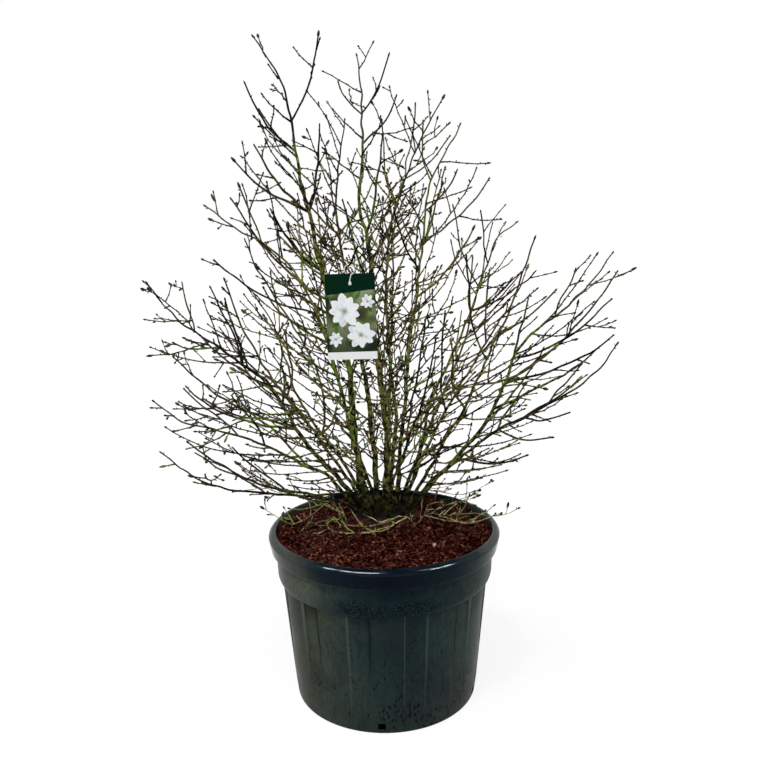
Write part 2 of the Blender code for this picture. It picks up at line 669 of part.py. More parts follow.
def ring_centre():
    return Vector((0.0, 0.0, CARD_HEIGHT / 2 + STRAP_RING_RISE))


def twig_in_ring():
    """Where the carrying twig passes, just under the top of the ring."""
    rise = STRAP_RING_RADIUS - STRAP_RADIUS - LABEL_TWIG_RADIUS - GAP
    return label_place() @ (ring_centre() + Vector((0.0, 0.0, rise)))


def grow_label_twig(canopy, owner, stem):
    path, radii = stem
    start = Vector(path[round(LABEL_TWIG_START * (len(path) - 1))])
    hold = twig_in_ring()
    before = hold + Vector((-1.0, 2.6, -0.9)) * CM
    after = hold + Vector((0.5, -2.2, 0.9)) * CM
    tip = hold + Vector((1.6, -4.4, 3.2)) * CM
    bend = start.lerp(before, 0.55) + Vector((0.0, -0.6, -0.8)) * CM
    twig = np.array([start, bend, before, hold + Vector((0, 0.3, 0)) * CM,
                     hold - Vector((0, 0.3, 0)) * CM, after, tip])
    twig_radii = np.full(len(twig), LABEL_TWIG_RADIUS)
    twig_radii[0] = LABEL_TWIG_RADIUS * 1.4
    canopy.add(twig, twig_radii, owner)
    return twig, twig_radii


def make_label(collection, cutters):
    outline = bpy.data.curves.new("plant_label", "CURVE")
    outline.dimensions = "2D"
    outline.fill_mode = "BOTH"
    outline.extrude = CARD_THICKNESS / 2
    spline = outline.splines.new("POLY")
    half = Vector((CARD_WIDTH / 2 - CARD_CORNER, CARD_HEIGHT / 2 - CARD_CORNER))
    corners = []
    for turn, (x, y) in enumerate(((1, 1), (-1, 1), (-1, -1), (1, -1))):
        corners += arc((x * half.x, y * half.y), CARD_CORNER, 90 * turn, 90 * turn + 90, 3)
    spline.points.add(len(corners) - 1)
    for point, (x, y) in zip(spline.points, corners):
        point.co = (x, y, 0.0, 1.0)
    spline.use_cyclic_u = True
    guide = bpy.data.objects.new("plant_label_outline", outline)
    guide.matrix_world = label_place() @ Matrix.Rotation(math.pi / 2, 4, "X")
    collection.objects.link(guide)
    bpy.context.view_layer.update()
    card = bpy.data.objects.new("plant_label", baked(guide))
    card.matrix_world = guide.matrix_world
    collection.objects.link(card)
    bpy.data.objects.remove(guide, do_unlink=True)
    hole = prism("label_hole", (0.0, 0.0), HOLE_RADIUS, -0.02, 0.02, 12, cutters)
    hole.matrix_world = card.matrix_world @ Matrix.Translation((0, CARD_HEIGHT / 2 - HOLE_DROP, 0))
    card = combine(card, [hole], "DIFFERENCE")
    return finish_piece(card, "plant_label", make_material("label_card"))


def strap_route():
    """From the tab up the card's front, round the ring, and down behind it into the hole."""
    stand_off = CARD_THICKNESS / 2 + STRAP_RADIUS + GAP
    centre = ring_centre()
    hole_height = CARD_HEIGHT / 2 - HOLE_DROP
    neck = math.radians(16)
    points = [Vector((0.0, -stand_off - 0.4 * MM, hole_height))]
    points.append(Vector((0.0, -stand_off, hole_height + 5 * MM)))
    turns = 14
    for step in range(turns + 1):
        angle = -math.pi / 2 + neck + (2 * math.pi - 2 * neck) * step / turns
        depth = stand_off * (2 * step / turns - 1)
        points.append(centre + Vector((STRAP_RING_RADIUS * math.cos(angle), depth,
                                       STRAP_RING_RADIUS * math.sin(angle))))
    points.append(Vector((0.0, stand_off, hole_height + 5 * MM)))
    points.append(Vector((0.0, stand_off + 0.3 * MM, hole_height + 1.2 * MM)))
    points.append(Vector((0.0, 0.6 * MM, hole_height)))
    return [label_place() @ point for point in points]


def make_strap(collection, cutters):
    route = strap_route()
    strap = tube("label_strap", route, [STRAP_RADIUS] * len(route), 6, collection, closed=True)
    stand_off = CARD_THICKNESS / 2 + GAP + TAB_SIZE.y / 2
    centre = Vector((0.0, -stand_off, CARD_HEIGHT / 2 - HOLE_DROP))
    tab = box("strap_tab", TAB_SIZE, centre, cutters, label_place())
    return finish_piece(combine(strap, [tab], "UNION"), "label_strap", make_material("strap"))


def main():
    clear_scene()
    parts = make_collection("potted_star_magnolia")
    cutters = make_collection("cutters")
    bark = make_material("bark")
    young_bark = make_material("young_bark")

    stem_feet = {name: foot_of(name, entry, SOCKET_BOTTOM) for name, entry in STEMS.items()}
    shoot_feet = {}
    for name, entry in LOW_SHOOTS.items():
        foot, radius = foot_of(name, entry, 0.0)
        foot.z = soil_height(foot.x, foot.y) - 14 * MM
        shoot_feet[name] = (foot, radius)

    make_container(parts, cutters)
    make_soil(parts, cutters, list(shoot_feet.values()))
    make_crown(parts, cutters, list(stem_feet.values()))
    make_label(parts, cutters)
    make_strap(parts, cutters)

    canopy = Canopy()
    owners = {name: number for number, name in enumerate([*STEMS, *LOW_SHOOTS])}
    feet = {**stem_feet, **shoot_feet}
    entries = {**STEMS, **LOW_SHOOTS}
    stems = {}
    for name, entry in entries.items():
        stems[name] = grow_stem(canopy, owners[name], name, entry, feet[name][0])
    limbs = {name: [] for name in entries}
    limbs[LABEL_STEM].append(grow_label_twig(canopy, owners[LABEL_STEM], stems[LABEL_STEM]))
    for name, entry in entries.items():
        limbs[name] += grow_limbs(canopy, owners[name], name, entry, stems[name])
    for name in entries:
        sides, material = (6, bark) if name in STEMS else (4, young_bark)
        make_shoot(name, stems[name], limbs[name], sides, parts, material)


main()
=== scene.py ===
"""Looks of a star magnolia in a nursery container: bark, twigs, buds, soil, container, label and strap.

The fine wood follows the same routes as the solids of the frame: the stems, their limbs and the low
shoots are laid out again from the same named values, then carry twigs, spurs and buds.
"""

import dataclasses
import functools
import math
import random

import bmesh
import bpy
import numpy as np
from mathutils import Matrix, Vector, noise


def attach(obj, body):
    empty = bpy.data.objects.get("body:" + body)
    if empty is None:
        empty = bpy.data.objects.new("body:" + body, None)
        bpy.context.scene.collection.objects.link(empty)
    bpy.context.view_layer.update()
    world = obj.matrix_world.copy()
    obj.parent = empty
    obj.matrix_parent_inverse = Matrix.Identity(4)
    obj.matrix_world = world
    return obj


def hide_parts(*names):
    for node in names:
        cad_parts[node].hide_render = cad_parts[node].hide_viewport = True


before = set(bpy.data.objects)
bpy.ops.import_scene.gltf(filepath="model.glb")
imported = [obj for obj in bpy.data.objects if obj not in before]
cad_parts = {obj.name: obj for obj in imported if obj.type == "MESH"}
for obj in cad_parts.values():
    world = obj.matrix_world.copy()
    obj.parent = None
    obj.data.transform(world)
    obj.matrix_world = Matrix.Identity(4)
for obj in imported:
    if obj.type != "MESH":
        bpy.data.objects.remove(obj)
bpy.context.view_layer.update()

bl_info = {
    "name": "Potted Star Magnolia",
    "version": (1, 0, 0),
    "blender": (4, 5, 0),
    "location": "3D View > Sidebar > Magnolia",
    "description": "Builds the looks of a bare star magnolia in a nursery container",
    "category": "Add Mesh",
}

CM = 0.01
MM = 0.001
GAP = 0.3 * MM

# Container, as in the frame
RIM_DIAMETER = 0.503
HEIGHT = 0.372
WALL = 3.0 * MM
FLOOR = 4.0 * MM
BASE_RADIUS = 0.1985
LIP_HEIGHT = 39 * MM
LIP_WIDTH = 16 * MM
SHOULDER_RADIUS = 0.2345
LEDGE_HEIGHT = 0.266
FLUTED_TOP_RADIUS = 0.2245
FLUTED_FOOT_RADIUS = 0.2035
FLUTED_FOOT_HEIGHT = 34 * MM
FLUTE_COUNT = 12
FLUTE_TURN = math.radians(1)
FLUTE_ARC = math.radians(12.2)
FLUTE_DEPTH = 4.2 * MM
FLUTE_FOOT_DEPTH = 0.5 * MM
NOTCH_COUNT = 5
NOTCH_TURN = math.radians(-3)
NOTCH_SIZE = 16 * MM
NOTCH_SILL = 7.5 * MM
NOTCH_CUT = 16 * MM

# Soil and root crown, as in the frame
SOIL_EDGE_HEIGHT = HEIGHT - 12 * MM
SOIL_DOME = 15 * MM
CROWN_CENTRE = Vector((0.5, 5.5, 0.0)) * CM
CROWN_RADIUS = 82 * MM
CROWN_RISE = 20 * MM
CROWN_SEAT = 4 * MM
SOCKET_BOTTOM = 0.366
FOOT_RISE = 7 * MM

# Label and strap, as in the frame
CARD_WIDTH = 93 * MM
CARD_HEIGHT = 160 * MM
CARD_THICKNESS = 0.8 * MM
CARD_CENTRE = Vector((-5.4, -17.5, 84.4)) * CM
CARD_TILT = math.radians(0.8)
CARD_CORNER = 1.5 * MM
HOLE_RADIUS = 2.6 * MM
HOLE_DROP = 18 * MM
STRAP_RADIUS = 1.0 * MM
STRAP_RING_RADIUS = 9.5 * MM
STRAP_RING_RISE = 7 * MM
TAB_SIZE = Vector((5.0, 2.4, 6.5)) * MM

# Growth of the stems and limbs, as in the frame
STEM_STEP = 60 * MM
LIMB_STEP = 52 * MM
SHOOT_STEP = 24 * MM
STEM_TAPER = 1.1
LIMB_TAPER = 0.8
TIP_RADIUS = 1.3 * MM
LIMB_BASE_RADIUS = 2.5 * MM
LIMB_ANGLE = math.radians(38)
SHOOT_CLEARANCE = 0.8 * MM
KINK = 2.6 * MM
TRIES = 300

# What the looks add
SOIL_RADIUS = RIM_DIAMETER / 2 - LIP_WIDTH - 1.2 * MM
FLUTE_FOOT = FLUTED_FOOT_HEIGHT + 14 * MM
FLUTE_TOP = LEDGE_HEIGHT - 5 * MM
FLUTE_LOOK = 1.3
# How each flute's left and right edge is painted: above 0 a painted highlight line, below 0 painted
# shade in the recess beside it.
FLUTE_EDGE_LIGHTING = (
    (0.55, 0.42), (-0.80, 0.65), (-0.80, 0.50), (0.40, -0.50), (-0.40, 0.50), (0.60, -0.30),
    (0.30, -0.80), (-0.50, 0.40), (0.50, -0.40), (0.70, -0.90), (0.80, -1.00), (0.60, -0.45),
)
# Loose grit: where each grain lies, across and back in cm, and its size in mm.
GRAINS = ((10.3, -12.2, 8.0), (12.6, -9.8, 2.6), (-11.0, -12.0, 2.4), (3.0, -17.5, 2.2),
          (-6.0, 17.0, 3.0), (15.0, 9.0, 2.6), (-16.5, 4.0, 2.2))
CARD_BOW = 1.2 * MM
HOLE_HEIGHT = CARD_HEIGHT / 2 - HOLE_DROP
HEADER_SLOPE = 0.10
# Half a petal: shares of its length and of half its width.
PETAL_FORM = ((0.08, 0.16), (0.30, 0.78), (0.55, 1.0), (0.78, 0.80), (0.93, 0.40))
# The card's picture, in mm from the card's middle: across, up, then reach and petals or turn and length.
PICTURE_BLOSSOMS = ((-12, 11, 33, 9), (17, -34, 28, 8), (31, 28, 14, 7), (-30, -41, 15, 7))
PICTURE_LEAVES = (
    (-38, -20, 35, 26), (-30, -34, 80, 24), (0, -8, -20, 26), (8, 30, 60, 20), (40, 6, 120, 24),
    (-40, 34, -50, 18), (-8, -44, 15, 22), (36, -48, 150, 20),
)
# Azimuth and elevation of the lamps that only make highlights.
GLOSS_LAMPS = ((-74, 52), (-54, 58), (-36, 60), (-18, 62), (62, 48), (76, 46))

# Each stem: thickness at the foot in mm, its route in cm (foot first, tip last), and the tips in cm
# that its limbs reach. x runs across, y to the back, z up.
STEMS = {
    "stem_01": (18, (
        (-3.6, 3.6), (-5, 4, 45), (-6.5, 3, 59), (-7, 2, 72), (-10, 0, 83), (-13, -2, 99),
        (-16, -3, 114), (-18, -2, 127), (-24, 0, 138)), (
        (-11, -4, 137), (-25, -6, 128), (-24, 4, 125), (-23, -10, 116), (-28, -4, 114),
        (-30, 1, 107), (-12, 6, 122), (-20, -13, 104))),
    "stem_02": (15, (
        (-1.6, 7.4), (-2.5, 8, 57), (-4, 9, 71), (-7, 11, 86), (-9, 12, 101), (-9, 12, 113),
        (-7, 12, 124)), (
        (-17, 13, 110), (-1, 18, 112), (-14, 18, 100), (-22, 10, 100))),
    "stem_03": (18, (
        (0.3, 2.8), (1, 2, 55), (0, 2, 65), (-1.5, 4, 80), (-2, 5, 96), (-4, 5, 108), (-3, 6, 122),
        (-4, 8, 136)), (
        (2.5, 4, 135), (-8, 9, 131), (4, 9, 128), (1, -6, 118), (5, -3, 110), (-7, -5, 106))),
    "stem_04": (11, (
        (1.4, 9.4), (3, 12, 58), (2, 13, 70), (1.5, 15, 88), (3, 16, 103), (8, 15, 117),
        (14, 12, 128)), (
        (8, 8, 126), (8, 21, 123), (1, 20, 125), (16, 18, 121), (11, 24, 110))),
    "stem_05": (11, (
        (2.7, 5.7), (4, 7, 51), (5, 5, 65), (7, 2, 84), (9, -1, 97), (10, -3, 108),
        (16, -5, 120)), (
        (9, -3, 121), (15, -9, 111), (22, -3, 110), (14, 6, 113), (18, -10, 100), (3, -10, 104))),
    "stem_06": (10, (
        (4.6, 8.6), (8, 10, 47), (10, 11, 59), (15, 13, 70), (21, 14, 84), (26, 15, 97),
        (31, 16, 102)), (
        (22, 9, 104), (17, 20, 106), (32, 20, 90), (22, 24, 94), (34, 10, 91))),
    "stem_07": (12, (
        (6.2, 4.4), (9, 4.5, 43), (16, 3, 51), (22, 1, 59), (26, -2, 69), (29, -2, 77),
        (37, -3, 83), (42, -2, 88), (48, 0, 95)), (
        (50, 3, 91), (39, -6, 92), (46, -7, 86), (46, -9, 79), (47, 4, 75), (29, -10, 87),
        (36, 9, 74))),
    "stem_08": (13, (
        (-5.4, 6), (-9, 4.5, 45), (-14, 2, 52), (-19, 0, 60), (-24, -1, 69), (-31, -2, 75),
        (-38, -2, 80), (-44, -2, 85), (-47, -2, 89)), (
        (-42, 4, 90), (-36, 4, 89), (-41, -9, 79), (-31, -6, 87), (-45, 5, 74), (-39, -9, 70),
        (-20, -8, 78))),
    "stem_09": (9, (
        (-4.2, 9.2), (-8, 11, 46), (-13, 13, 53), (-20, 15, 64), (-24, 17, 77), (-30, 18, 88)), (
        (-31, 20, 99), (-26, 24, 91), (-36, 14, 78), (-34, 23, 70))),
    "stem_10": (10, (
        (-1.8, 0.6), (-5, -3, 52), (-9, -8, 72), (-13, -11, 87), (-19, -13, 96), (-27, -14, 101),
        (-32, -14, 105)), (
        (-25, -17, 108), (-30, -18, 95), (-21, -20, 90))),
    "stem_11": (9, (
        (-6.2, 3.4), (-10, 1, 46), (-15, -3, 51), (-21, -8, 56), (-28, -13, 61), (-36, -17, 64),
        (-43, -18, 69)), (
        (-39, -11, 70), (-36, -22, 62), (-28, -19, 70), (-30, -4, 67))),
    "stem_12": (7.5, (
        (-4.6, 1.0), (-9, -1, 43), (-15, -4, 45), (-20, -6, 46), (-27, -12, 49), (-33, -17, 52),
        (-38, -21, 57), (-41, -22, 60)), (
        (-37, -12, 57), (-33, -23, 56), (-31, -5, 56))),
    "stem_13": (9, (
        (-2, 11.6), (-6, 15, 50), (-10, 21, 64), (-14, 27, 80), (-17, 31, 96), (-20, 34, 110)), (
        (-27, 31, 92), (-23, 37, 80), (-8, 37, 102), (-25, 25, 105))),
    "stem_14": (9, (
        (1, 12.3), (1, 18, 52), (2, 25, 68), (3, 31, 85), (3, 35, 101), (2, 38, 115)), (
        (11, 37, 104), (-5, 41, 94), (9, 42, 84), (-4, 30, 107))),
    "stem_15": (9, (
        (4.2, 11.2), (9, 16, 50), (15, 22, 62), (21, 27, 76), (25, 31, 90), (28, 34, 102)), (
        (18, 36, 98), (34, 28, 90), (32, 36, 76), (21, 40, 80))),
    "stem_16": (9, (
        (6.0, 1.6), (10, 1, 45), (15, -2, 51), (21, -6, 58), (28, -10, 63), (36, -13, 68),
        (42, -14, 73), (45, -15, 78)), (
        (35, -20, 66), (37, -20, 75), (27, -18, 71), (40, -7, 70), (33, -15, 60), (29, -10, 55))),
    "stem_17": (9, (
        (-2.4, -0.8), (-7, -9, 50), (-12, -17, 61), (-18, -24, 72), (-23, -28, 82),
        (-26, -30, 92)), (
        (-32, -24, 82), (-16, -31, 83), (-30, -32, 72), (-8, -28, 69))),
    "stem_18": (9, (
        (3.8, -0.2), (9, -8, 51), (14, -16, 63), (19, -23, 76), (23, -27, 88), (26, -30, 98)), (
        (15, -27, 95), (31, -24, 89), (29, -33, 80), (12, -31, 81))),
    "stem_19": (8, (
        (0.9, -1.3), (2, -10, 49), (4, -19, 58), (6, -27, 67), (8, -33, 74), (9, -36, 82)), (
        (14, -35, 74), (-3, -31, 66), (8, -24, 84))),
    "stem_20": (9, (
        (4.6, 6.4), (8, 7, 48), (13, 6, 59), (18, 5, 68), (23, 4, 77), (28, 3, 85), (31, 3, 92)), (
        (22, -5, 92), (24, 10, 91), (13, -6, 84))),
}

# Thin shoots that lie low over the soil, rooted in it beside the crown; same layout as the stems.
LOW_SHOOTS = {
    "low_shoot_01": (4.5, (
        (-8.4, 1.4), (-9.8, 0.5, 42.4), (-12, -2.2, 43.2), (-14.3, -4.2, 42.2), (-16.9, -5.2, 40.3),
        (-19.6, -6.4, 40.1), (-22.4, -7.8, 42.4), (-24.8, -8.6, 44.2)), (
        (-17.2, -9, 39.4), (-20.2, -2.6, 42))),
    "low_shoot_02": (5, (
        (-9.2, 4.6), (-11.5, 2.8, 41.6), (-15.2, 0.8, 42.3), (-17.2, -0.2, 43.6),
        (-19.9, -1.4, 45.1), (-23.2, -2.6, 45.7), (-25.4, -3.6, 47.3), (-30, -5, 47)), (
        (-23.5, -5.4, 49), (-27.4, 0, 49.6))),
    "low_shoot_03": (4.5, (
        (6.6, -2.8), (4.6, -3.4, 40.3), (1.6, -4, 39.6), (-1.2, -4.6, 38.9), (-4.4, -5, 38.7),
        (-8, -4.6, 38.7), (-9.2, -3, 40.2), (-10.2, -1.4, 42)), (
        (-9.4, -8, 38.5), (-4.8, -8.4, 38.6))),
    "low_shoot_04": (4, (
        (-9.6, -1.8), (-11, -2.4, 39.8), (-12.4, -4, 39), (-11.8, -6.2, 38.6), (-13.2, -8, 38.7),
        (-13.8, -10.4, 39)), (
        (-15.8, -5, 39.7), (-10.4, -9.4, 38.4))),
    "low_shoot_05": (4.5, (
        (7.6, -1.2), (9.6, -2.2, 40.6), (13.6, -3, 39.8), (17.4, -3.4, 40.6), (20.6, -4, 40.8),
        (23.3, -4.2, 40.1), (27, -4.4, 40.8), (28.6, -4.4, 41.8)), (
        (19, -8, 40.2), (24.4, -7.6, 42))),
    "low_shoot_06": (4.5, (
        (9.2, 4.2), (10.6, 3.6, 41), (14.2, 3, 40.3), (18.1, 2.8, 41.7), (20.8, 2.6, 44),
        (23.9, 2, 45.8)), (
        (21.6, 6.4, 42.2), (19.4, -0.6, 43))),
    "low_shoot_07": (4.5, (
        (7.8, 10.4), (9.4, 9.8, 42.2), (12.2, 8.8, 41.6), (17.2, 8.6, 40.5), (20.4, 8, 41.6)), (
        (16.2, 12, 42), (15, 5.8, 43))),
}

# The twig that carries the label: its stem, where it leaves it as a share of the length, and its radius.
LABEL_STEM = "stem_10"
LABEL_TWIG_START = 0.55
LABEL_TWIG_RADIUS = 1.4 * MM

# Each kind of side growth: how far apart it starts, its shortest and longest length,
# its thickness, the angle it leaves at, how strongly it leaves on the outer side, how strongly it bends
# outwards, how it zigzags, and how often its place holds only a bud. Metres and degrees.
GROWTH = {
    "twig": (0.038, 0.12, 0.34, 1.85 * MM, 50, 1.8, 0.18, 0.20, 0.10),
    "inner": (0.034, 0.07, 0.22, 1.6 * MM, 62, 0.0, 0.03, 0.22, 0.15),
    "side_twig": (0.034, 0.03, 0.13, 1.6 * MM, 52, 0.9, 0.07, 0.25, 0.22),
    "spur": (0.034, 0.010, 0.060, 1.4 * MM, 54, 0.6, 0.06, 0.26, 0.44),
    "knob": (0.026, 0.004, 0.012, 1.3 * MM, 55, 0.8, 0.02, 0.10, 0.76),
    "crooked": (0.022, 0.012, 0.066, 0.95 * MM, 55, 0.5, 0.00, 0.24, 0.20),
}
FIRST_TWIG = 0.11
GOLDEN_ANGLE = math.radians(137.5)
TWIG_TIP_RADIUS = 1.2 * MM
TWIG_JOINT = 0.018
LIMB_JOINT = 0.024
LIMB_BEND = 1.8 * MM
LIMB_GIRTH = 1.2
STEM_BEND = 2.0 * MM
LOWEST_TWIGS = 0.53
PLANT_FOOT = np.array((0.005, 0.05, 0.36))
# The crown's heart is a tall oval about this height, and distances from it shrink by this much upwards.
HEART_HEIGHT, HEART_TALLNESS = 0.72, 0.55
LOW_SHOOT_BEND = 3.0 * MM
KNOT_REACH = 2.4 * MM
FLOWER_BUD_SHARE = 0.14
FORKED_TIP_SHARE = 0.55
HEART_TOP, HEART_REACH, HEART_BARE_SHARE = 0.88, 0.16, 0.55
CROWN_TOP = 1.392

# Each kind of bud: least and most length and radius in mm, least and most tone, sides, and its form as
# shares of the length and the radius.
SIDE_BUD_FORM = ((0.0, 0.90), (0.45, 1.0), (1.0, 0.15))
BUDS = {
    "flower": ((10, 14), (2.6, 3.4), (0.3, 1.0), 7,
               ((0.0, 0.50), (0.16, 0.86), (0.42, 1.0), (0.70, 0.80), (0.90, 0.42), (1.0, 0.08))),
    "leaf": ((5.5, 9.5), (1.7, 2.3), (0.0, 0.8), 5,
             ((0.0, 0.62), (0.22, 0.95), (0.55, 1.0), (0.84, 0.55), (1.0, 0.10))),
    "fork": ((4, 7), (1.0, 1.4), (0.0, 0.8), 4, SIDE_BUD_FORM),
    "side": ((3.0, 5.5), (0.9, 1.4), (0.0, 0.8), 4, SIDE_BUD_FORM),
}

# The crown's outline: height, then its reach to the left, right, front and back.
CROWN_OUTLINE = CM * np.array((
    (44, -26, 28, -16, 20), (50, -34, 26, -20, 22), (56, -41, 30, -25, 24), (62, -44, 34, -32, 28),
    (70, -45, 40, -35, 35), (78, -47, 47, -37, 41), (88, -49, 51, -36, 42), (96, -42, 50, -33, 41),
    (101, -37, 36, -31, 39), (108, -34, 31, -22, 39), (114, -31, 24, -16, 38), (122, -29, 19, -13, 26),
    (130, -27, 15, -9, 16), (136, -25, 5, -6, 11), (140, -24, 0, -5, 9),
))
# Where fewer or more twigs grow: left, right, lowest and highest place, and the share left out.
THINNED = (
    (0.13, 9.0, 0.60, 9.0, 0.26), (-9.0, -0.27, 0.60, 9.0, -0.25),
    (-0.27, -0.08, -9.0, 0.62, 0.25), (-0.13, 0.11, 0.62, 1.14, -0.35),
)


# ---- routes, laid out as in the frame ----


def soil_height(x, y):
    """Height of the domed soil surface at a place."""
    edge = RIM_DIAMETER / 2 - 17 * MM
    return SOIL_EDGE_HEIGHT + SOIL_DOME * max(0.0, 1 - (x * x + y * y) / (edge * edge))


def from_crown(x, y):
    return math.hypot(x - CROWN_CENTRE.x, y - CROWN_CENTRE.y)


def crown_height(x, y):
    """Mean height of the crown's knobbly top at a place."""
    reach = min(1.0, from_crown(x, y) / CROWN_RADIUS)
    shoulder = soil_height(CROWN_CENTRE.x, CROWN_CENTRE.y) - CROWN_SEAT
    return shoulder + CROWN_RISE * math.sqrt(1 - reach * reach)


def lengths_along(path):
    """How far along the path each of its points lies."""
    return np.r_[0.0, np.cumsum(np.linalg.norm(np.diff(path, axis=0), axis=1))]


def scatter(rng, amount):
    """A random shift along each axis."""
    return [rng.uniform(-amount, amount) for _ in range(3)]


def smooth_route(points, step):
    """A smooth curve through the points, read at about equal steps."""
    points = np.array(points, float)
    padded = np.vstack([2 * points[0] - points[1], points, 2 * points[-1] - points[-2]])
    dense = []
    for index in range(len(points) - 1):
        before, start, end, after = padded[index:index + 4]
        for t in np.arange(0.0, 1.0, 0.1):
            dense.append(0.5 * (2 * start + (end - before) * t
                                + (2 * before - 5 * start + 4 * end - after) * t ** 2
                                + (3 * start - before - 3 * end + after) * t ** 3))
    dense.append(points[-1])
    return resample(np.array(dense), step)


def resample(points, step):
    lengths = lengths_along(points)
    count = max(3, round(lengths[-1] / step))
    marks = np.linspace(0.0, lengths[-1], count + 1)
    return np.stack([np.interp(marks, lengths, points[:, axis]) for axis in range(3)], axis=1)


def kinked(path, rng, amount, first):
    """Shift each joint of the path a little, as wood bends at its old buds."""
    shifts = [scatter(rng, amount) for _ in path]
    path = path.copy()
    path[first:-1] += np.array(shifts)[first:-1]
    return path


class Canopy:
    """The shoots placed so far, as rods, so that each new one keeps clear of the others."""

    def __init__(self):
        self.starts = np.empty((0, 3))
        self.ends = np.empty((0, 3))
        self.radii = np.empty(0)
        self.owners = np.empty(0, int)

    def add(self, path, radii, owner):
        self.starts = np.vstack([self.starts, path[:-1]])
        self.ends = np.vstack([self.ends, path[1:]])
        self.radii = np.r_[self.radii, np.maximum(radii[:-1], radii[1:])]
        self.owners = np.r_[self.owners, np.full(len(path) - 1, owner)]

    def is_clear(self, path, radii, owner):
        """True where the path clears all other shoots, and its own ones beyond its first run."""
        for index in range(len(path) - 1):
            others = self.owners != owner if index < 2 else self.owners >= 0
            if not others.any():
                continue
            gaps = rod_distance(path[index], path[index + 1], self.starts[others], self.ends[others])
            room = self.radii[others] + max(radii[index], radii[index + 1]) + SHOOT_CLEARANCE
            if (gaps < room).any():
                return False
        return True


def rod_distance(start, end, starts, ends):
    """Shortest distance from one rod's axis to each of the others."""
    own, other, offset = end - start, ends - starts, start - starts
    own_sq = own @ own
    other_sq = np.einsum("ij,ij->i", other, other)
    along_other = np.einsum("ij,ij->i", other, offset)
    along_own = offset @ own
    both = other @ own
    spread = np.maximum(own_sq * other_sq - both * both, 1e-12)
    s = np.clip((both * along_other - along_own * other_sq) / spread, 0, 1)
    t = np.clip((both * s + along_other) / other_sq, 0, 1)
    s = np.clip((both * t - along_own) / own_sq, 0, 1)
    apart = offset + s[:, None] * own - t[:, None] * other
    return np.linalg.norm(apart, axis=1)


def taper(base, tip, count, power):
    shares = np.linspace(0.0, 1.0, count)
    return tip + (base - tip) * (1 - shares) ** power


def stem_path(foot, foot_top, route, step, rng, spread):
    """From an upright foot along the route's points, each moved by up to the spread."""
    points = [Vector((foot.x, foot.y, foot_top))]
    points += [Vector(point) * CM for point in route]
    for point in points[1:-1]:
        point += Vector(scatter(rng, spread))
    path = kinked(smooth_route(points, step), rng, KINK, 1)
    return np.vstack([foot, path])


def branching_point(path, tip):
    """The joint of the path from which the tip lies nearest to the branching angle."""
    return min(range(2, len(path) - 2), key=lambda i: abs(leaving_angle(path, i, tip) - LIMB_ANGLE))


def leaving_angle(path, index, tip):
    along = Vector(path[index + 1] - path[index - 1])
    return along.angle(Vector(tip - path[index]))


def limb_path(path, index, tip, rng, spread):
    """An arc that leaves the path sideways and turns up towards its tip."""
    start = Vector(path[index])
    along = Vector(path[index + 1] - path[index - 1]).normalized()
    reach = Vector(tip) - start
    out = (reach - along * reach.dot(along)).normalized()
    first = start + (along * 0.75 + out).normalized() * reach.length * 0.38
    last = Vector(tip) - (reach.normalized() + Vector((0, 0, 0.5))).normalized() * reach.length * 0.3
    for control in (first, last):
        control += Vector(scatter(rng, spread))
    shares = np.linspace(0.0, 1.0, 13)[:, None]
    arc_points = ((1 - shares) ** 3 * np.array(start) + 3 * shares * (1 - shares) ** 2 * np.array(first)
                  + 3 * shares ** 2 * (1 - shares) * np.array(last) + shares ** 3 * np.array(tip))
    return kinked(resample(arc_points, LIMB_STEP), rng, KINK * 0.8, 1)


def grow(canopy, owner, seed, make_path, base_radius, power):
    """Try slightly wider variants of a path until one clears the rest of the canopy."""
    for attempt in range(TRIES):
        rng = random.Random(f"{seed}/{attempt}")
        path = make_path(rng, attempt * 0.15 * MM)
        radii = taper(base_radius, TIP_RADIUS, len(path), power)
        if canopy.is_clear(path, radii, owner):
            canopy.add(path, radii, owner)
            return path, radii
    raise RuntimeError(f"no room for {seed}")


def grow_stem(canopy, owner, name, entry):
    thickness, route, _ = entry
    foot = Vector((route[0][0] * CM, route[0][1] * CM, SOCKET_BOTTOM))
    ground, step = crown_height, STEM_STEP
    if name in LOW_SHOOTS:
        ground, step = soil_height, SHOOT_STEP
        foot.z = soil_height(foot.x, foot.y) - 14 * MM
    foot_top = ground(foot.x, foot.y) + FOOT_RISE
    return grow(canopy, owner, name,
                lambda rng, spread: stem_path(foot, foot_top, route[1:], step, rng, spread),
                thickness / 2 * MM, STEM_TAPER)


def grow_limbs(canopy, owner, name, entry, stem):
    path, radii = stem
    limbs = []
    for number, tip in enumerate(entry[2]):
        target = np.array(tip) * CM
        index = branching_point(path, target)
        base = min(LIMB_BASE_RADIUS, radii[index] * 0.72)
        limbs.append(grow(canopy, owner, f"{name}/{number}",
                          lambda rng, spread: limb_path(path, index, target, rng, spread),
                          base, LIMB_TAPER))
    return limbs


def label_place():
    """The card's own frame: origin at its middle, x along its width, z up its height."""
    return Matrix.Translation(CARD_CENTRE) @ Matrix.Rotation(-CARD_TILT, 4, "Y")


def ring_centre():
    return Vector((0.0, 0.0, CARD_HEIGHT / 2 + STRAP_RING_RISE))


def twig_in_ring():
    """Where the carrying twig passes, just under the top of the ring."""
    rise = STRAP_RING_RADIUS - STRAP_RADIUS - LABEL_TWIG_RADIUS - GAP
    return label_place() @ (ring_centre() + Vector((0.0, 0.0, rise)))


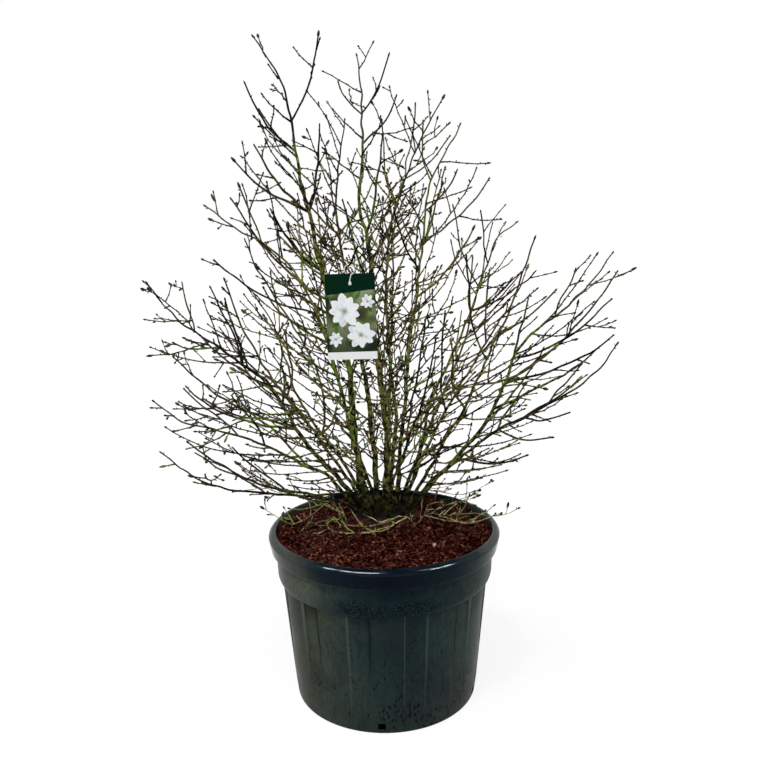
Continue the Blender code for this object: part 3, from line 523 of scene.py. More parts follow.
def grow_label_twig(canopy, owner, stem):
    """The twig that hangs the label, led through the strap's ring and on to its tip."""
    path = stem[0]
    start = Vector(path[round(LABEL_TWIG_START * (len(path) - 1))])
    hold = twig_in_ring()
    before = hold + Vector((-1.0, 2.6, -0.9)) * CM
    after = hold + Vector((0.5, -2.2, 0.9)) * CM
    tip = hold + Vector((1.6, -4.4, 3.2)) * CM
    bend = start.lerp(before, 0.55) + Vector((0.0, -0.6, -0.8)) * CM
    twig = np.array([start, bend, before, hold + Vector((0, 0.3, 0)) * CM,
                     hold - Vector((0, 0.3, 0)) * CM, after, tip])
    twig_radii = np.full(len(twig), LABEL_TWIG_RADIUS)
    twig_radii[0] = LABEL_TWIG_RADIUS * 1.4
    canopy.add(twig, twig_radii, owner)
    return twig, twig_radii


@functools.lru_cache(maxsize=1)
def laid_out_wood():
    """Every stem and low shoot with its limbs, laid out as in the frame."""
    canopy = Canopy()
    entries = {**STEMS, **LOW_SHOOTS}
    stems = {name: grow_stem(canopy, owner, name, entry)
             for owner, (name, entry) in enumerate(entries.items())}
    limbs = {name: [] for name in entries}
    label_owner = list(entries).index(LABEL_STEM)
    limbs[LABEL_STEM].append(grow_label_twig(canopy, label_owner, stems[LABEL_STEM]))
    for owner, (name, entry) in enumerate(entries.items()):
        limbs[name] += grow_limbs(canopy, owner, name, entry, stems[name])
    return {name: (stems[name], limbs[name]) for name in entries}


# ---- mesh helpers ----


def put_in_scene(name, data):
    """A new object with this mesh, lamp or camera, linked to the scene."""
    obj = bpy.data.objects.new(name, data)
    bpy.context.scene.collection.objects.link(obj)
    return obj


def new_piece(name, points, faces, *materials):
    """A new mesh object from points and faces."""
    mesh = bpy.data.meshes.new(name)
    mesh.from_pydata(points, [], faces)
    for material in materials:
        mesh.materials.append(material)
    return put_in_scene(name, mesh)


def mesh_of(form, name, *materials):
    """A mesh made from a finished bmesh, which is then freed."""
    mesh = bpy.data.meshes.new(name)
    form.to_mesh(mesh)
    form.free()
    for material in materials:
        mesh.materials.append(material)
    return mesh


def smooth_faces(mesh, degrees):
    """Shade the mesh smooth, but for edges sharper than an angle."""
    mesh.shade_smooth()
    mesh.set_sharp_from_angle(angle=math.radians(degrees))


def bar_faces(rings, sides):
    """Faces of a closed bar whose points come ring by ring."""
    faces = []
    for base in range(0, (rings - 1) * sides, sides):
        for side in range(sides):
            after = (side + 1) % sides
            faces.append((base + side, base + after, base + sides + after, base + sides + side))
    faces.append(tuple(range(sides - 1, -1, -1)))
    faces.append(tuple(range((rings - 1) * sides, rings * sides)))
    return faces


class Mesher:
    """Gathers tubes, buds and shards into one mesh, with a girth and a tone for each point."""

    def __init__(self):
        self.points, self.faces, self.slots, self.girths, self.tones = [], [], [], [], []
        self.count = 0

    def add(self, points, faces, slot=0, girth=0.0, tone=0.5):
        self.points.append(np.asarray(points, float))
        self.faces += [tuple(index + self.count for index in face) for face in faces]
        self.slots += [slot] * len(faces)
        self.girths.append(np.broadcast_to(girth, len(points)))
        self.tones.append(np.broadcast_to(tone, len(points)))
        self.count += len(points)

    def build(self, name, materials, smooth_angle=50):
        obj = new_piece(name, np.vstack(self.points).tolist(), self.faces, *materials)
        mesh = obj.data
        for label, values in (("girth", self.girths), ("tone", self.tones)):
            layer = mesh.attributes.new(label, "FLOAT", "POINT")
            layer.data.foreach_set("value", np.concatenate(values).astype(np.float32))
        mesh.polygons.foreach_set("material_index", self.slots)
        smooth_faces(mesh, smooth_angle)
        return obj


def place_on_root(obj, slot, *nodes):
    """Ride the piece on the single body and hide the solids it stands for; the slot is not used."""
    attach(obj, "root")
    if nodes:
        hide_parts(*nodes)


def side_directions(path):
    """Tangents along a path, and two directions across it that don't twist."""
    tangents = np.gradient(path, axis=0)
    tangents /= np.linalg.norm(tangents, axis=1)[:, None]
    across = np.cross(tangents[0], (0.3, 0.9, 0.2))
    across /= np.linalg.norm(across)
    firsts = []
    for tangent in tangents:
        across = across - tangent * (across @ tangent)
        across /= np.linalg.norm(across)
        firsts.append(across)
    firsts = np.array(firsts)
    return tangents, firsts, np.cross(tangents, firsts)


def tube_mesh(path, radii, sides):
    """Points and faces of a closed round bar along a path."""
    path, radii = np.asarray(path, float), np.asarray(radii, float)
    _, firsts, seconds = side_directions(path)
    angles = np.arange(sides) * 2 * math.pi / sides
    spokes = (np.cos(angles)[None, :, None] * firsts[:, None, :]
              + np.sin(angles)[None, :, None] * seconds[:, None, :])
    points = (path[:, None, :] + radii[:, None, None] * spokes).reshape(-1, 3)
    return points, bar_faces(len(path), sides)


def add_bud(mesher, rng, place, direction, kind):
    lengths, radii, tones, sides, form = BUDS[kind]
    length, radius = rng.uniform(*lengths) * MM, rng.uniform(*radii) * MM
    path = [place + direction * length * share for share, _ in form]
    points, faces = tube_mesh(path, [radius * width for _, width in form], sides)
    mesher.add(points, faces, 1, radius, rng.uniform(*tones))


def fine_route(path, radii, step):
    """The route read at finer steps along a smooth curve, with its radii."""
    before = lengths_along(path)
    fine = smooth_route(path, step)
    lengths = lengths_along(fine)
    return fine, np.interp(lengths / lengths[-1] * before[-1], before, radii)


def unit(vector):
    return vector / np.linalg.norm(vector)


def wood_noise(point, scale, seed=0.0):
    return noise.noise(Vector(point) * scale + Vector((seed, seed * 0.7, -seed)))


# ---- twigs, spurs, buds ----


def inside_crown(point):
    """How far out a point is, as a share of the crown's reach there."""
    heights, *reaches = CROWN_OUTLINE.T
    left, right, front, back = (np.interp(point[2], heights, reach) for reach in reaches)
    across = point[0] / (max(right, 1 * MM) if point[0] > 0 else left)
    deep = (point[1] - 0.02) / ((back if point[1] > 0.02 else front) - 0.02)
    return (abs(across) ** 2.4 + abs(deep) ** 2.4) ** (1 / 2.4)


def blocks_label(path):
    """True where a shoot would cross the label, its strap, or the clear space before them."""
    offset = np.abs(path - np.array(CARD_CENTRE + Vector((0, 0, 12 * MM))))
    near = (offset[:, 0] < CARD_WIDTH / 2 + 9 * MM) & (offset[:, 2] < CARD_HEIGHT / 2 + 24 * MM)
    return bool((near & (path[:, 1] < CARD_CENTRE.y + 9 * MM)).any())


def strikes_pot(path):
    """True where a shoot would run into the soil or the container's lip."""
    for x, y, z in path:
        away = math.hypot(x, y)
        if away < SOIL_RADIUS and z < soil_height(x, y) + 3 * MM:
            return True
        if SOIL_RADIUS - 4 * MM < away < RIM_DIAMETER / 2 + 6 * MM and z < HEIGHT + 4 * MM:
            return True
    return False


def flow_direction(point):
    """The way that young shoots settle into: out from the plant's foot, and less steeply than that."""
    out = np.array(point) - PLANT_FOOT
    return unit(out * np.array((1.0, 1.0, 0.38)))


def side_shoot_path(start, direction, length, bend, zigzag, rng):
    """A shoot that leaves at its own angle, bends into the flow and turns up at its tip."""
    steps = max(2, round(length / TWIG_JOINT))
    points = [np.array(start)]
    heading = np.array(direction)
    high = np.clip((start[2] - 0.85) / 0.25, 0, 1)
    bend *= rng.uniform(0.5, 1.3) * (1 - 0.85 * high)
    upturn, zig = rng.uniform(0.06, 0.18) * (1 - 0.6 * high), rng.choice((-1, 1))
    lean = unit(np.cross(heading, (rng.uniform(-0.6, 0.6), rng.uniform(-0.6, 0.6), 0.7)))
    for step in range(steps):
        wander = np.array(scatter(rng, 0.09))
        rise = np.array((0.0, 0.0, upturn * step / steps))
        heading = unit(heading + flow_direction(points[-1]) * bend + rise + wander
                       + lean * zigzag * zig)
        zig = -zig
        points.append(points[-1] + heading * length / steps)
    return np.array(points)


def trimmed(path):
    """Cut a shoot back to the crown's outline; None where too little is left."""
    limit = max(1.03, inside_crown(path[0]) + 0.05)
    inside = [inside_crown(point) < limit and point[2] < CROWN_TOP for point in path]
    keep = max((index + 1 for index, kept in enumerate(inside) if kept), default=0)
    return path[:keep] if keep > 1 else None


@dataclasses.dataclass
class Shoot:
    """One stem, limb, twig or spur, with the tone of its bark."""

    path: np.ndarray
    radii: np.ndarray
    kind: str
    tone: float


def bare_share(kind, place, skip):
    """How often a joint stays without a shoot: seldom in the crown's heart, more often far out."""
    x, y, z = place
    away = math.sqrt(x * x + (y * 0.5) ** 2 + ((z - HEART_HEIGHT) * HEART_TALLNESS) ** 2)
    if kind == "crooked":
        return skip
    if kind == "inner":
        return skip + (1 - skip) * np.clip((away - 0.10) / 0.08, 0, 1)
    thinned = 0.40 * np.clip((away - 0.15) / 0.15, 0, 1)
    for left, right, low, high, share in THINNED:
        if left < x < right and low < z < high:
            thinned += share
    return skip + (1 - skip) * thinned * (0.5 if kind == "twig" else 1.0)


def fanning(place):
    """1 on the crown's right side below its shoulder, where twigs lie over in flat fans."""
    return float(np.clip((place[0] - 0.05) / 0.10, 0, 1) * np.clip((1.00 - place[2]) / 0.15, 0, 1))


def sprout(parent, kind, rng, first, shoots, nodes):
    """Grow one kind of shoot along a parent, and note the places that only hold a bud."""
    spacing, shortest, longest, thickness, leaving, outward, bend, zigzag, skip = GROWTH[kind]
    lengths = lengths_along(parent.path)
    total = lengths[-1]
    tangents, firsts, seconds = side_directions(parent.path)
    turn = rng.uniform(0, 2 * math.pi)
    mark = first * rng.uniform(0.9, 1.2)
    while mark < total - 0.005:
        place = np.array([np.interp(mark, lengths, parent.path[:, axis]) for axis in range(3)])
        index = min(len(tangents) - 1, int(np.searchsorted(lengths, mark)))
        girth = float(np.interp(mark, lengths, parent.radii))
        turn += GOLDEN_ANGLE * 1.32 + rng.uniform(-0.3, 0.3)
        flow = flow_direction(place)
        across = flow - tangents[index] * (flow @ tangents[index])
        side = math.cos(turn) * firsts[index] + math.sin(turn) * seconds[index]
        fan = fanning(place) if kind in ("twig", "side_twig", "spur") else 0.0
        side = unit(side + across * (outward + 1.3 * fan))
        angle = math.radians(leaving) * rng.uniform(0.75, 1.25)
        direction = unit(math.cos(angle) * tangents[index] + math.sin(angle) * side)
        if place[2] < LOWEST_TWIGS:
            direction[2] = abs(direction[2])
        length = rng.uniform(shortest, longest) * (1.0 - 0.62 * (mark / total) ** 1.5)
        path = None
        if rng.random() > bare_share(kind, place, skip):
            length = max(length, shortest * 0.8)
            settle = (bend + 0.10 * fan) * min(1.0, 1.7 * np.linalg.norm(across))
            path = trimmed(side_shoot_path(place, direction, length, settle, zigzag, rng))
        if path is not None and not blocks_label(path) and not strikes_pot(path):
            base = min(thickness, girth * 0.85)
            radii = np.linspace(base, min(base, TWIG_TIP_RADIUS), len(path))
            shoots.append(Shoot(path, radii, kind, rng.random()))
        else:
            nodes.append((place + side * girth * 0.6, direction))
        mark += spacing * rng.uniform(0.65, 1.4)


def jointed(limb, bend, rng):
    """A limb with a slight bend at each of its old joints."""
    path, radii = fine_route(*limb, LIMB_JOINT)
    return kinked(path, rng, bend, 1), radii * LIMB_GIRTH


def grow_twigs(main, limbs, name):
    """All side growth of one stem: twigs, spurs and knobs, and the places that carry side buds."""
    rng = random.Random(name + " twigs")
    low = name in LOW_SHOOTS
    bends = [LOW_SHOOT_BEND if low else LIMB_BEND] * len(limbs)
    if name == LABEL_STEM:
        bends[0] = 0.0
    limbs = [jointed(limb, bend, rng) for limb, bend in zip(limbs, bends)]
    woody = [Shoot(path, radii, "wood", rng.random()) for path, radii in [main] + limbs]
    shoots, nodes = [], []
    if low:
        for limb in woody:
            sprout(limb, "crooked", rng, 0.03, shoots, nodes)
        for shoot in list(shoots):
            sprout(shoot, "knob", rng, 0.012, shoots, nodes)
        return woody, shoots, nodes
    sprout(woody[0], "twig", rng, FIRST_TWIG, shoots, nodes)
    sprout(woody[0], "inner", rng, FIRST_TWIG, shoots, [])
    for limb in woody[1:]:
        sprout(limb, "side_twig", rng, 0.03, shoots, nodes)
    for twig in list(shoots):
        sprout(twig, "spur", rng, 0.03, shoots, nodes)
    for shoot in list(shoots):
        sprout(shoot, "knob", rng, 0.012, shoots, nodes)
    return woody, shoots, nodes


def add_woody(mesher, shoot, is_stem, sides):
    path, radii = fine_route(shoot.path, shoot.radii, 0.009 if is_stem else 0.011)
    points, faces = tube_mesh(path, radii, sides)
    girths = np.repeat(radii, sides)
    centres = np.repeat(path, sides, axis=0)
    for index, point in enumerate(points):
        rough = 0.13 * wood_noise(point, 75) + 0.07 * wood_noise(point, 230, 3.1)
        ring = 0.10 * max(0.0, wood_noise(centres[index], 48, 9.0)) ** 2
        points[index] = centres[index] + (point - centres[index]) * (1 + rough + ring)
    mesher.add(points, faces, 0, girths, shoot.tone)


def knotted(path, radii):
    """The shoot's route with a knot at each joint: a swelling between two slim places."""
    route, girths = [path[0]], [radii[0] * 1.4]
    for before, joint, after, girth in zip(path[:-2], path[1:-1], path[2:], radii[1:-1]):
        route += [joint + unit(before - joint) * KNOT_REACH, joint,
                  joint + unit(after - joint) * KNOT_REACH]
        girths += [girth * 0.94, girth * 1.42, girth * 0.94]
    return np.array(route + [path[-1]]), np.array(girths + [radii[-1]])


def add_twig(mesher, shoot, sides):
    """A thin shoot with knots where its old buds were."""
    path, radii = knotted(shoot.path, shoot.radii)
    points, faces = tube_mesh(path, radii, sides)
    mesher.add(points, faces, 0, np.repeat(radii, sides), shoot.tone)


def add_tip_bud(mesher, shoot, rng):
    """A bud at the tip, sometimes with a smaller one forking off beside it."""
    heading = unit(shoot.path[-1] - shoot.path[-2])
    tip = shoot.path[-1] - heading * MM
    add_bud(mesher, rng, tip, heading, "flower" if rng.random() < FLOWER_BUD_SHARE else "leaf")
    if rng.random() < FORKED_TIP_SHARE:
        aside = unit(np.cross(heading, (rng.uniform(-1, 1), rng.uniform(-1, 1), 0.3)))
        add_bud(mesher, rng, tip - heading * 3 * MM, unit(heading * 0.7 + aside), "fork")


def flared(path, radii, ground):
    """Stems widen into the crown at their foot."""
    rise = np.maximum(0.0, path[:, 2] - ground)
    return radii * (1 + 0.30 * np.exp(-rise / 0.010))


def crooked_bar(mesher, shoot):
    """A low shoot's wood: straight from joint to joint, with a knob at each."""
    swell = np.where(np.arange(len(shoot.path)) % 2, 1.22, 0.92)
    points, faces = tube_mesh(shoot.path, shoot.radii * swell * 0.52, 7)
    mesher.add(points, faces, 0, np.repeat(shoot.radii, 7), shoot.tone)


def build_shoot(name, main, limbs, materials):
    """One stem or low shoot with everything that grows on it, as one piece."""
    woody, shoots, nodes = grow_twigs(main, limbs, name)
    rng = random.Random(name + " buds")
    mesher = Mesher()
    if name in LOW_SHOOTS:
        for shoot in woody:
            crooked_bar(mesher, shoot)
            add_tip_bud(mesher, shoot, rng)
    else:
        route, radii = fine_route(*main, 0.02)
        woody[0].path = kinked(route, rng, STEM_BEND, 5)
        woody[0].radii = flared(route, radii, main[0][1][2] - FOOT_RISE)
        for number, shoot in enumerate(woody):
            add_woody(mesher, shoot, number == 0, 7 if number else 12)
            add_tip_bud(mesher, shoot, rng)
    for shoot in shoots:
        add_twig(mesher, shoot, 4 if shoot.kind in ("knob", "spur") else 5)
        add_tip_bud(mesher, shoot, rng)
    for place, direction in nodes:
        in_heart = place[2] < HEART_TOP and abs(place[0]) < HEART_REACH
        if not (in_heart and rng.random() < HEART_BARE_SHARE):
            add_bud(mesher, rng, place, direction, "side")
    return mesher.build(name + "_wood", materials, 70)


def make_shoots(names, slot, finishes):
    """Build and place the named stems or low shoots."""
    for name in names:
        place_on_root(build_shoot(name, *laid_out_wood()[name], finishes), slot, name)


# ---- finishes ----


class Nodes:
    """A node tree whose nodes get their inputs linked or set as they are made."""

    def __init__(self, tree):
        self.tree = tree

    def node(self, kind, inputs=None, **options):
        made = self.tree.nodes.new("ShaderNode" + kind)
        for option, value in options.items():
            setattr(made, option, value)
        for name, value in (inputs or {}).items():
            self.feed(made.inputs[name], value)
        return made

    def feed(self, socket, value):
        """Link an output to a socket, or set the socket to a number, vector or colour."""
        if hasattr(value, "node"):
            self.tree.links.new(value, socket)
        else:
            socket.default_value = (*value[:3], 1.0) if socket.type == "RGBA" else value

    def maths(self, operation, first, second=0.0, clamp=False):
        inputs = {0: first, 1: second}
        return self.node("Math", inputs, operation=operation, use_clamp=clamp).outputs["Value"]

    def times(self, first, second, clamp=False):
        return self.maths("MULTIPLY", first, second, clamp)

    def plus(self, first, second, clamp=False):
        return self.maths("ADD", first, second, clamp)

    def less(self, first, second):
        return self.maths("SUBTRACT", first, second)

    def seen_by_eye(self):
        """A switch that is on for camera, glossy and transmission rays."""
        rays = self.node("LightPath").outputs
        direct = self.maths("MAXIMUM", rays["Is Camera Ray"], rays["Is Glossy Ray"])
        return self.maths("MAXIMUM", direct, rays["Is Transmission Ray"])


class Finish(Nodes):
    """A Principled material whose colour, roughness and bump are built up from simple layers."""

    def __init__(self, name, roughness, specular, sheen=0.0):
        self.material = bpy.data.materials.new(name)
        self.material.use_nodes = True
        super().__init__(self.material.node_tree)
        self.shader = self.tree.nodes["Principled BSDF"]
        self.shader.inputs["Roughness"].default_value = roughness
        self.shader.inputs["Specular IOR Level"].default_value = specular
        self.shader.inputs["Sheen Weight"].default_value = sheen
        self.place = self.node("TexCoord").outputs["Object"]
        self.colour = None

    def stretched(self, scale):
        return self.node("Mapping", {"Vector": self.place, "Scale": scale}).outputs["Vector"]

    def noise(self, scale, detail=3, stretch=(1, 1, 1), roughness=0.55):
        """Noise over the surface; scale is in cells a metre."""
        inputs = {"Vector": self.stretched(stretch), "Scale": scale, "Detail": detail,
                  "Roughness": roughness}
        return self.node("TexNoise", inputs).outputs["Fac"]

    def cells(self, scale, stretch=(1, 1, 1)):
        inputs = {"Vector": self.stretched(stretch), "Scale": scale}
        return self.node("TexVoronoi", inputs).outputs["Distance"]

    def attribute(self, name):
        return self.node("Attribute", attribute_name=name).outputs["Fac"]

    def axis(self, name):
        return self.node("SeparateXYZ", {"Vector": self.place}).outputs[name]

    def flank(self, wander, off_centre):
        """0 in the middle of the front and back, 1 on the left and right flank, a little uneven."""
        across = self.maths("ABSOLUTE", self.less(self.axis("X"), off_centre))
        uneven = self.times(self.less(wander, 0.5), 0.55)
        return self.plus(self.times(across, 5.0), uneven, True)

    def between(self, value, low, high, start=0.0, end=1.0):
        """The value read from low..high onto start..end, with soft ends."""
        inputs = {"Value": value, "From Min": low, "From Max": high, "To Min": start, "To Max": end}
        return self.node("MapRange", inputs, interpolation_type="SMOOTHSTEP").outputs["Result"]

    def ramp(self, value, *stops):
        """Colours along a value: each stop is (position, colour)."""
        made = self.node("ValToRGB", {"Fac": value})
        elements = made.color_ramp.elements
        while len(elements) < len(stops):
            elements.new(0.5)
        for element, (position, colour) in zip(elements, stops):
            element.position, element.color = position, (*colour[:3], 1.0)
        return made.outputs["Color"]

    def mix(self, share, first, second):
        made = self.node("Mix", {"Factor": share}, data_type="RGBA")
        for socket, colour in zip([s for s in made.inputs if s.type == "RGBA"], (first, second)):
            self.feed(socket, colour)
        return next(s for s in made.outputs if s.type == "RGBA")

    def coat(self, colour, *shares):
        """Lay a colour over all before it, by a product of shares; a tuple is read by between."""
        factors = [self.between(*share) if isinstance(share, tuple) else share for share in shares]
        self.colour = self.mix(functools.reduce(self.times, factors), self.colour, colour)

    def patch(self, value, low, high, strength, colour):
        """Lay a colour over all before it where the value is past low, in full strength at high."""
        self.coat(colour, (value, low, high, 0.0, strength))

    def bump(self, height, strength, distance):
        made = self.node("Bump", {"Height": height, "Strength": strength, "Distance": distance})
        self.feed(self.shader.inputs["Normal"], made.outputs["Normal"])

    def done(self, roughness=None):
        self.feed(self.shader.inputs["Base Color"], self.colour)
        if roughness is not None:
            self.feed(self.shader.inputs["Roughness"], roughness)
        return self.material


def container_body_finish(settings):
    """Dull plastic: bluish in front, greener on the flanks by a painted reflection, speckled by the
    ledge and the foot; painted shadow under the ledge, painted light and shade on the flute edges.
    """
    finish = Finish("container_wall", 0.36, 0.03)
    height, edge = finish.axis("Z"), finish.attribute("edge")
    mottle, clouds = finish.noise(12, 5), finish.noise(7, 3)
    patches = finish.noise(44, 5, (1, 1, 0.30), 0.65)
    dust = finish.noise(190, 4, (1, 1, 0.35), 0.7)
    flank = finish.flank(mottle, 0.008)
    # Painted reflection and side light: lighter and greener towards the flanks, a little more so on the
    # left.
    finish.colour = finish.ramp(
        finish.flank(mottle, 0.042), (0.12, settings.wall_colour), (0.42, settings.wall_tint),
        (0.68, settings.wall_flank_sheen), (0.90, settings.flank_sheen), (1.0, (0.040, 0.048, 0.031)))
    finish.patch(height, 0.13, 0.03, 0.40, settings.foot_colour)
    finish.patch(clouds, 0.50, 0.60, 0.40, settings.wall_shade)
    # Painted shadow of the ledge on the upper wall at the flanks.
    finish.coat((0.010, 0.018, 0.008), (flank, 0.72, 0.92), (height, 0.175, 0.245, 0.0, 0.6))
    # The shoulder band, lighter towards the flanks by the same painted reflection.
    shoulder = finish.ramp(
        finish.flank(mottle, 0.030), (0.0, settings.shoulder_colour),
        (0.28, (0.0062, 0.0165, 0.0195)), (0.55, (0.016, 0.029, 0.031)),
        (0.78, (0.034, 0.052, 0.046)), (1.0, (0.092, 0.104, 0.080)))
    finish.patch(height, 0.262, 0.274, 1.0, shoulder)
    finish.patch(patches, 0.50, 0.66, 0.35, finish.mix(0.5, finish.colour, settings.wall_shade))
    finish.patch(patches, 0.48, 0.34, 0.32, (0.002, 0.009, 0.011))
    finish.coat((0.085, 0.100, 0.090), flank, (dust, 0.50, 0.60, 0.0, 0.14))
    finish.patch(dust, 0.50, 0.40, 0.26, (0.004, 0.010, 0.011))
    # Painted highlight along the lit flute edges, then painted shade inside the flute recesses.
    finish.coat((0.135, 0.160, 0.135), finish.times(edge, 1.45, True))
    finish.coat((0.0010, 0.0030, 0.0045), finish.times(edge, -1.60, True))
    from_ledge = finish.maths("ABSOLUTE", finish.less(height, 0.280))
    by_ledge = finish.times(finish.between(flank, 0.75, 0.30),
                            finish.between(from_ledge, 0.034, 0.012))
    finish.coat((0.0150, 0.0330, 0.0360), by_ledge, 0.45)
    speckle = finish.noise(260, 3, (1, 1, 0.7), 0.7)
    finish.coat((0.0030, 0.0105, 0.0140), by_ledge, (speckle, 0.50, 0.55, 0.0, 0.75))
    crowding = finish.between(finish.noise(16, 3), 0.30, 0.52, 0.38, 0.50)
    dots = finish.maths("LESS_THAN", finish.cells(200), finish.times(crowding, by_ledge))
    wetness = finish.times(finish.between(finish.noise(15, 6), 0.41, 0.60, 0.0, 0.42),
                           finish.between(height, 0.20, 0.05, 0.45, 0.90))
    drips = finish.maths("LESS_THAN", finish.cells(170, (1, 1, 0.42)), wetness)
    marks = finish.maths("MAXIMUM", dots, drips)
    finish.coat((0.0012, 0.0038, 0.0058), marks, 0.85)
    finish.bump(finish.plus(finish.noise(420, 2), finish.times(marks, 1.2)), 0.12, 0.0006)
    return finish.done(finish.between(mottle, 0.3, 0.7, 0.28, 0.42))


def container_lip_finish(settings):
    """The lip: near black and glossy in front, lighter and greener towards the flanks as a painted
    reflection.
    """
    finish = Finish("container_lip", 0.16, 0.045)
    haze, scuffs = finish.noise(11, 4), finish.noise(60, 4, (1, 1, 3))
    # Painted reflection: the lip lightens from near black in front to grey-green on the flanks.
    finish.colour = finish.ramp(
        finish.flank(haze, 0.008), (0.0, settings.lip_colour), (0.45, (0.0010, 0.0062, 0.0125)),
        (0.68, (0.0030, 0.0105, 0.0180)), (0.86, (0.017, 0.028, 0.028)),
        (1.0, (0.058, 0.067, 0.060)))
    finish.patch(scuffs, 0.54, 0.70, 0.30, (0.012, 0.028, 0.036))
    finish.bump(finish.noise(300, 2), 0.05, 0.0005)
    return finish.done(finish.between(scuffs, 0.40, 0.66, 0.08, 0.16))


def soil_finish(settings):
    """Peat that is darker in the hollows of its grain, partly wet peat and partly painted shade, and
    paler towards the left.
    """
    finish = Finish("soil_peat", 0.95, 0.0)
    coarse, grain = finish.noise(60, 4), finish.noise(250, 5, roughness=0.75)
    dark, light = settings.dark_colour, settings.light_colour
    # Darkest where the grain's bump is lowest: partly wet peat, partly painted shade in the hollows.
    finish.colour = finish.ramp(grain, (0.44, dark), (0.50, settings.soil_colour), (0.58, light))
    finish.patch(coarse, 0.45, 0.60, 0.7, dark)
    finish.coat(light, (finish.axis("X"), 0.0, -0.15), (grain, 0.46, 0.56, 0.0, 0.65))
    finish.bump(grain, 1.0, 0.003)
    return finish.done()


def chip_finish(settings):
    """Bark chips from dark to dry, paler towards the left."""
    finish = Finish("soil_chips", 0.9, 0.0)
    tone, grain = finish.attribute("tone"), finish.noise(700, 3, (1, 1, 2.5))
    finish.colour = finish.ramp(
        tone, (0.20, settings.dark_colour), (0.46, settings.soil_colour),
        (0.70, settings.light_colour), (0.96, settings.chip_colour))
    finish.coat(settings.chip_colour, (finish.axis("X"), 0.0, -0.15, 0.0, 0.5), (tone, 0.45, 0.80))
    finish.patch(grain, 0.44, 0.62, 0.6, settings.dark_colour)
    finish.bump(grain, 0.5, 0.0008)
    return finish.done()


def fibre_finish(settings):
    finish = Finish("soil_fibres", 0.85, 0.05)
    finish.colour = finish.ramp(
        finish.attribute("tone"), (0.0, settings.dark_colour), (0.60, settings.light_colour),
        (1.0, settings.fibre_colour))
    return finish.done()


def grain_finish(settings):
    finish = Finish("soil_grains", 0.8, 0.15)
    pits = finish.noise(900, 3)
    finish.colour = settings.grain_colour
    finish.patch(pits, 0.35, 0.7, 1.0, (0.24, 0.17, 0.11))
    finish.bump(pits, 0.6, 0.0005)
    return finish.done()


def crown_finish(settings):
    """Dark bark over the roots, with soil worked into it and a little moss."""
    finish = Finish("crown_bark", 0.92, 0.03)
    knobs = finish.noise(70, 5, roughness=0.65)
    moss, fine = finish.noise(24, 3), finish.noise(520, 3)
    finish.colour = finish.ramp(
        knobs, (0.42, (0.0016, 0.0014, 0.0008)), (0.54, settings.crown_colour),
        (0.68, (0.034, 0.024, 0.012)))
    finish.coat(settings.moss_colour, (moss, 0.52, 0.64), (knobs, 0.47, 0.58), 0.3)
    earth = finish.ramp(
        fine, (0.43, settings.dark_colour), (0.495, settings.soil_colour),
        (0.56, settings.light_colour))
    finish.patch(finish.axis("Z"), 0.388, 0.376, 0.95, earth)
    finish.bump(finish.plus(knobs, finish.times(fine, 0.5)), 0.8, 0.003)
    return finish.done()


def wood_finish(settings):
    """Bark that goes from dark outer twigs to olive stems, with green algae, dark scars, and a
    near-black foot that is partly damp bark and partly painted shade.
    """
    finish = Finish("bark", 0.78, 0.02)
    girth, tone = finish.attribute("girth"), finish.attribute("tone")
    height, across = finish.axis("Z"), finish.axis("X")
    wide, mottle = finish.noise(8, 3), finish.noise(26, 3)
    scars, fine = finish.noise(95, 4, roughness=0.6), finish.noise(520, 3)
    above = finish.times(finish.less(height, HEART_HEIGHT), HEART_TALLNESS)
    from_heart = finish.maths("SQRT", finish.plus(finish.times(across, across),
                                                  finish.times(above, above)))
    # Twigs: dark outside, warmer on the right, brown and green in the heart.
    shade = finish.plus(finish.times(tone, 0.5), finish.times(mottle, 0.5))
    finish.colour = finish.ramp(
        shade, (0.30, settings.dark_twig), (0.46, settings.twig_colour),
        (0.60, settings.brown_twig), (0.78, settings.green_twig))
    warm = finish.ramp(
        shade, (0.30, settings.dark_twig), (0.46, (0.046, 0.025, 0.018)),
        (0.58, (0.135, 0.078, 0.046)), (0.76, (0.160, 0.134, 0.056)))
    finish.coat(warm, (across, 0.0, 0.16, 0.05, 0.75))
    inner = finish.ramp(
        shade, (0.34, (0.0035, 0.0030, 0.0008)), (0.43, (0.060, 0.030, 0.012)),
        (0.52, (0.200, 0.102, 0.046)), (0.61, (0.135, 0.155, 0.024)), (0.74, (0.310, 0.300, 0.080)))
    finish.patch(from_heart, 0.34, 0.14, 0.85, inner)
    finish.patch(scars, 0.48, 0.40, 0.7, settings.dark_twig)
    # Thicker wood: olive and scarred near the heart, dark farther out.
    stem = finish.ramp(
        scars, (0.42, (0.0024, 0.0028, 0.0007)), (0.48, settings.stem_colour),
        (0.53, (0.120, 0.122, 0.030)), (0.59, (0.290, 0.290, 0.095)))
    finish.coat(stem, (girth, 0.0018, 0.0036), (from_heart, 0.38, 0.16, 0.25, 1.0))
    finish.coat(settings.dark_twig, (girth, 0.0012, 0.0020), (from_heart, 0.16, 0.30, 0.0, 0.55))
    finish.coat(settings.algae_colour, (wide, 0.50, 0.60), (scars, 0.44, 0.54),
                (girth, 0.0012, 0.0026, 0.12, 0.9), (height, 0.43, 0.56, 0.1, 1.0))
    pores = finish.maths("LESS_THAN", finish.cells(330), 0.15)
    finish.coat((0.26, 0.25, 0.13), pores, (girth, 0.002, 0.005, 0.0, 0.4))
    # Near-black towards the stems' foot: partly damp bark, partly painted shade under the crown.
    finish.coat((0.0024, 0.0022, 0.0009), (height, 0.52, 0.40), (mottle, 0.38, 0.58, 0.80, 0.97))
    finish.bump(finish.plus(scars, finish.times(fine, 0.4)), 0.6, 0.0016)
    return finish.done()


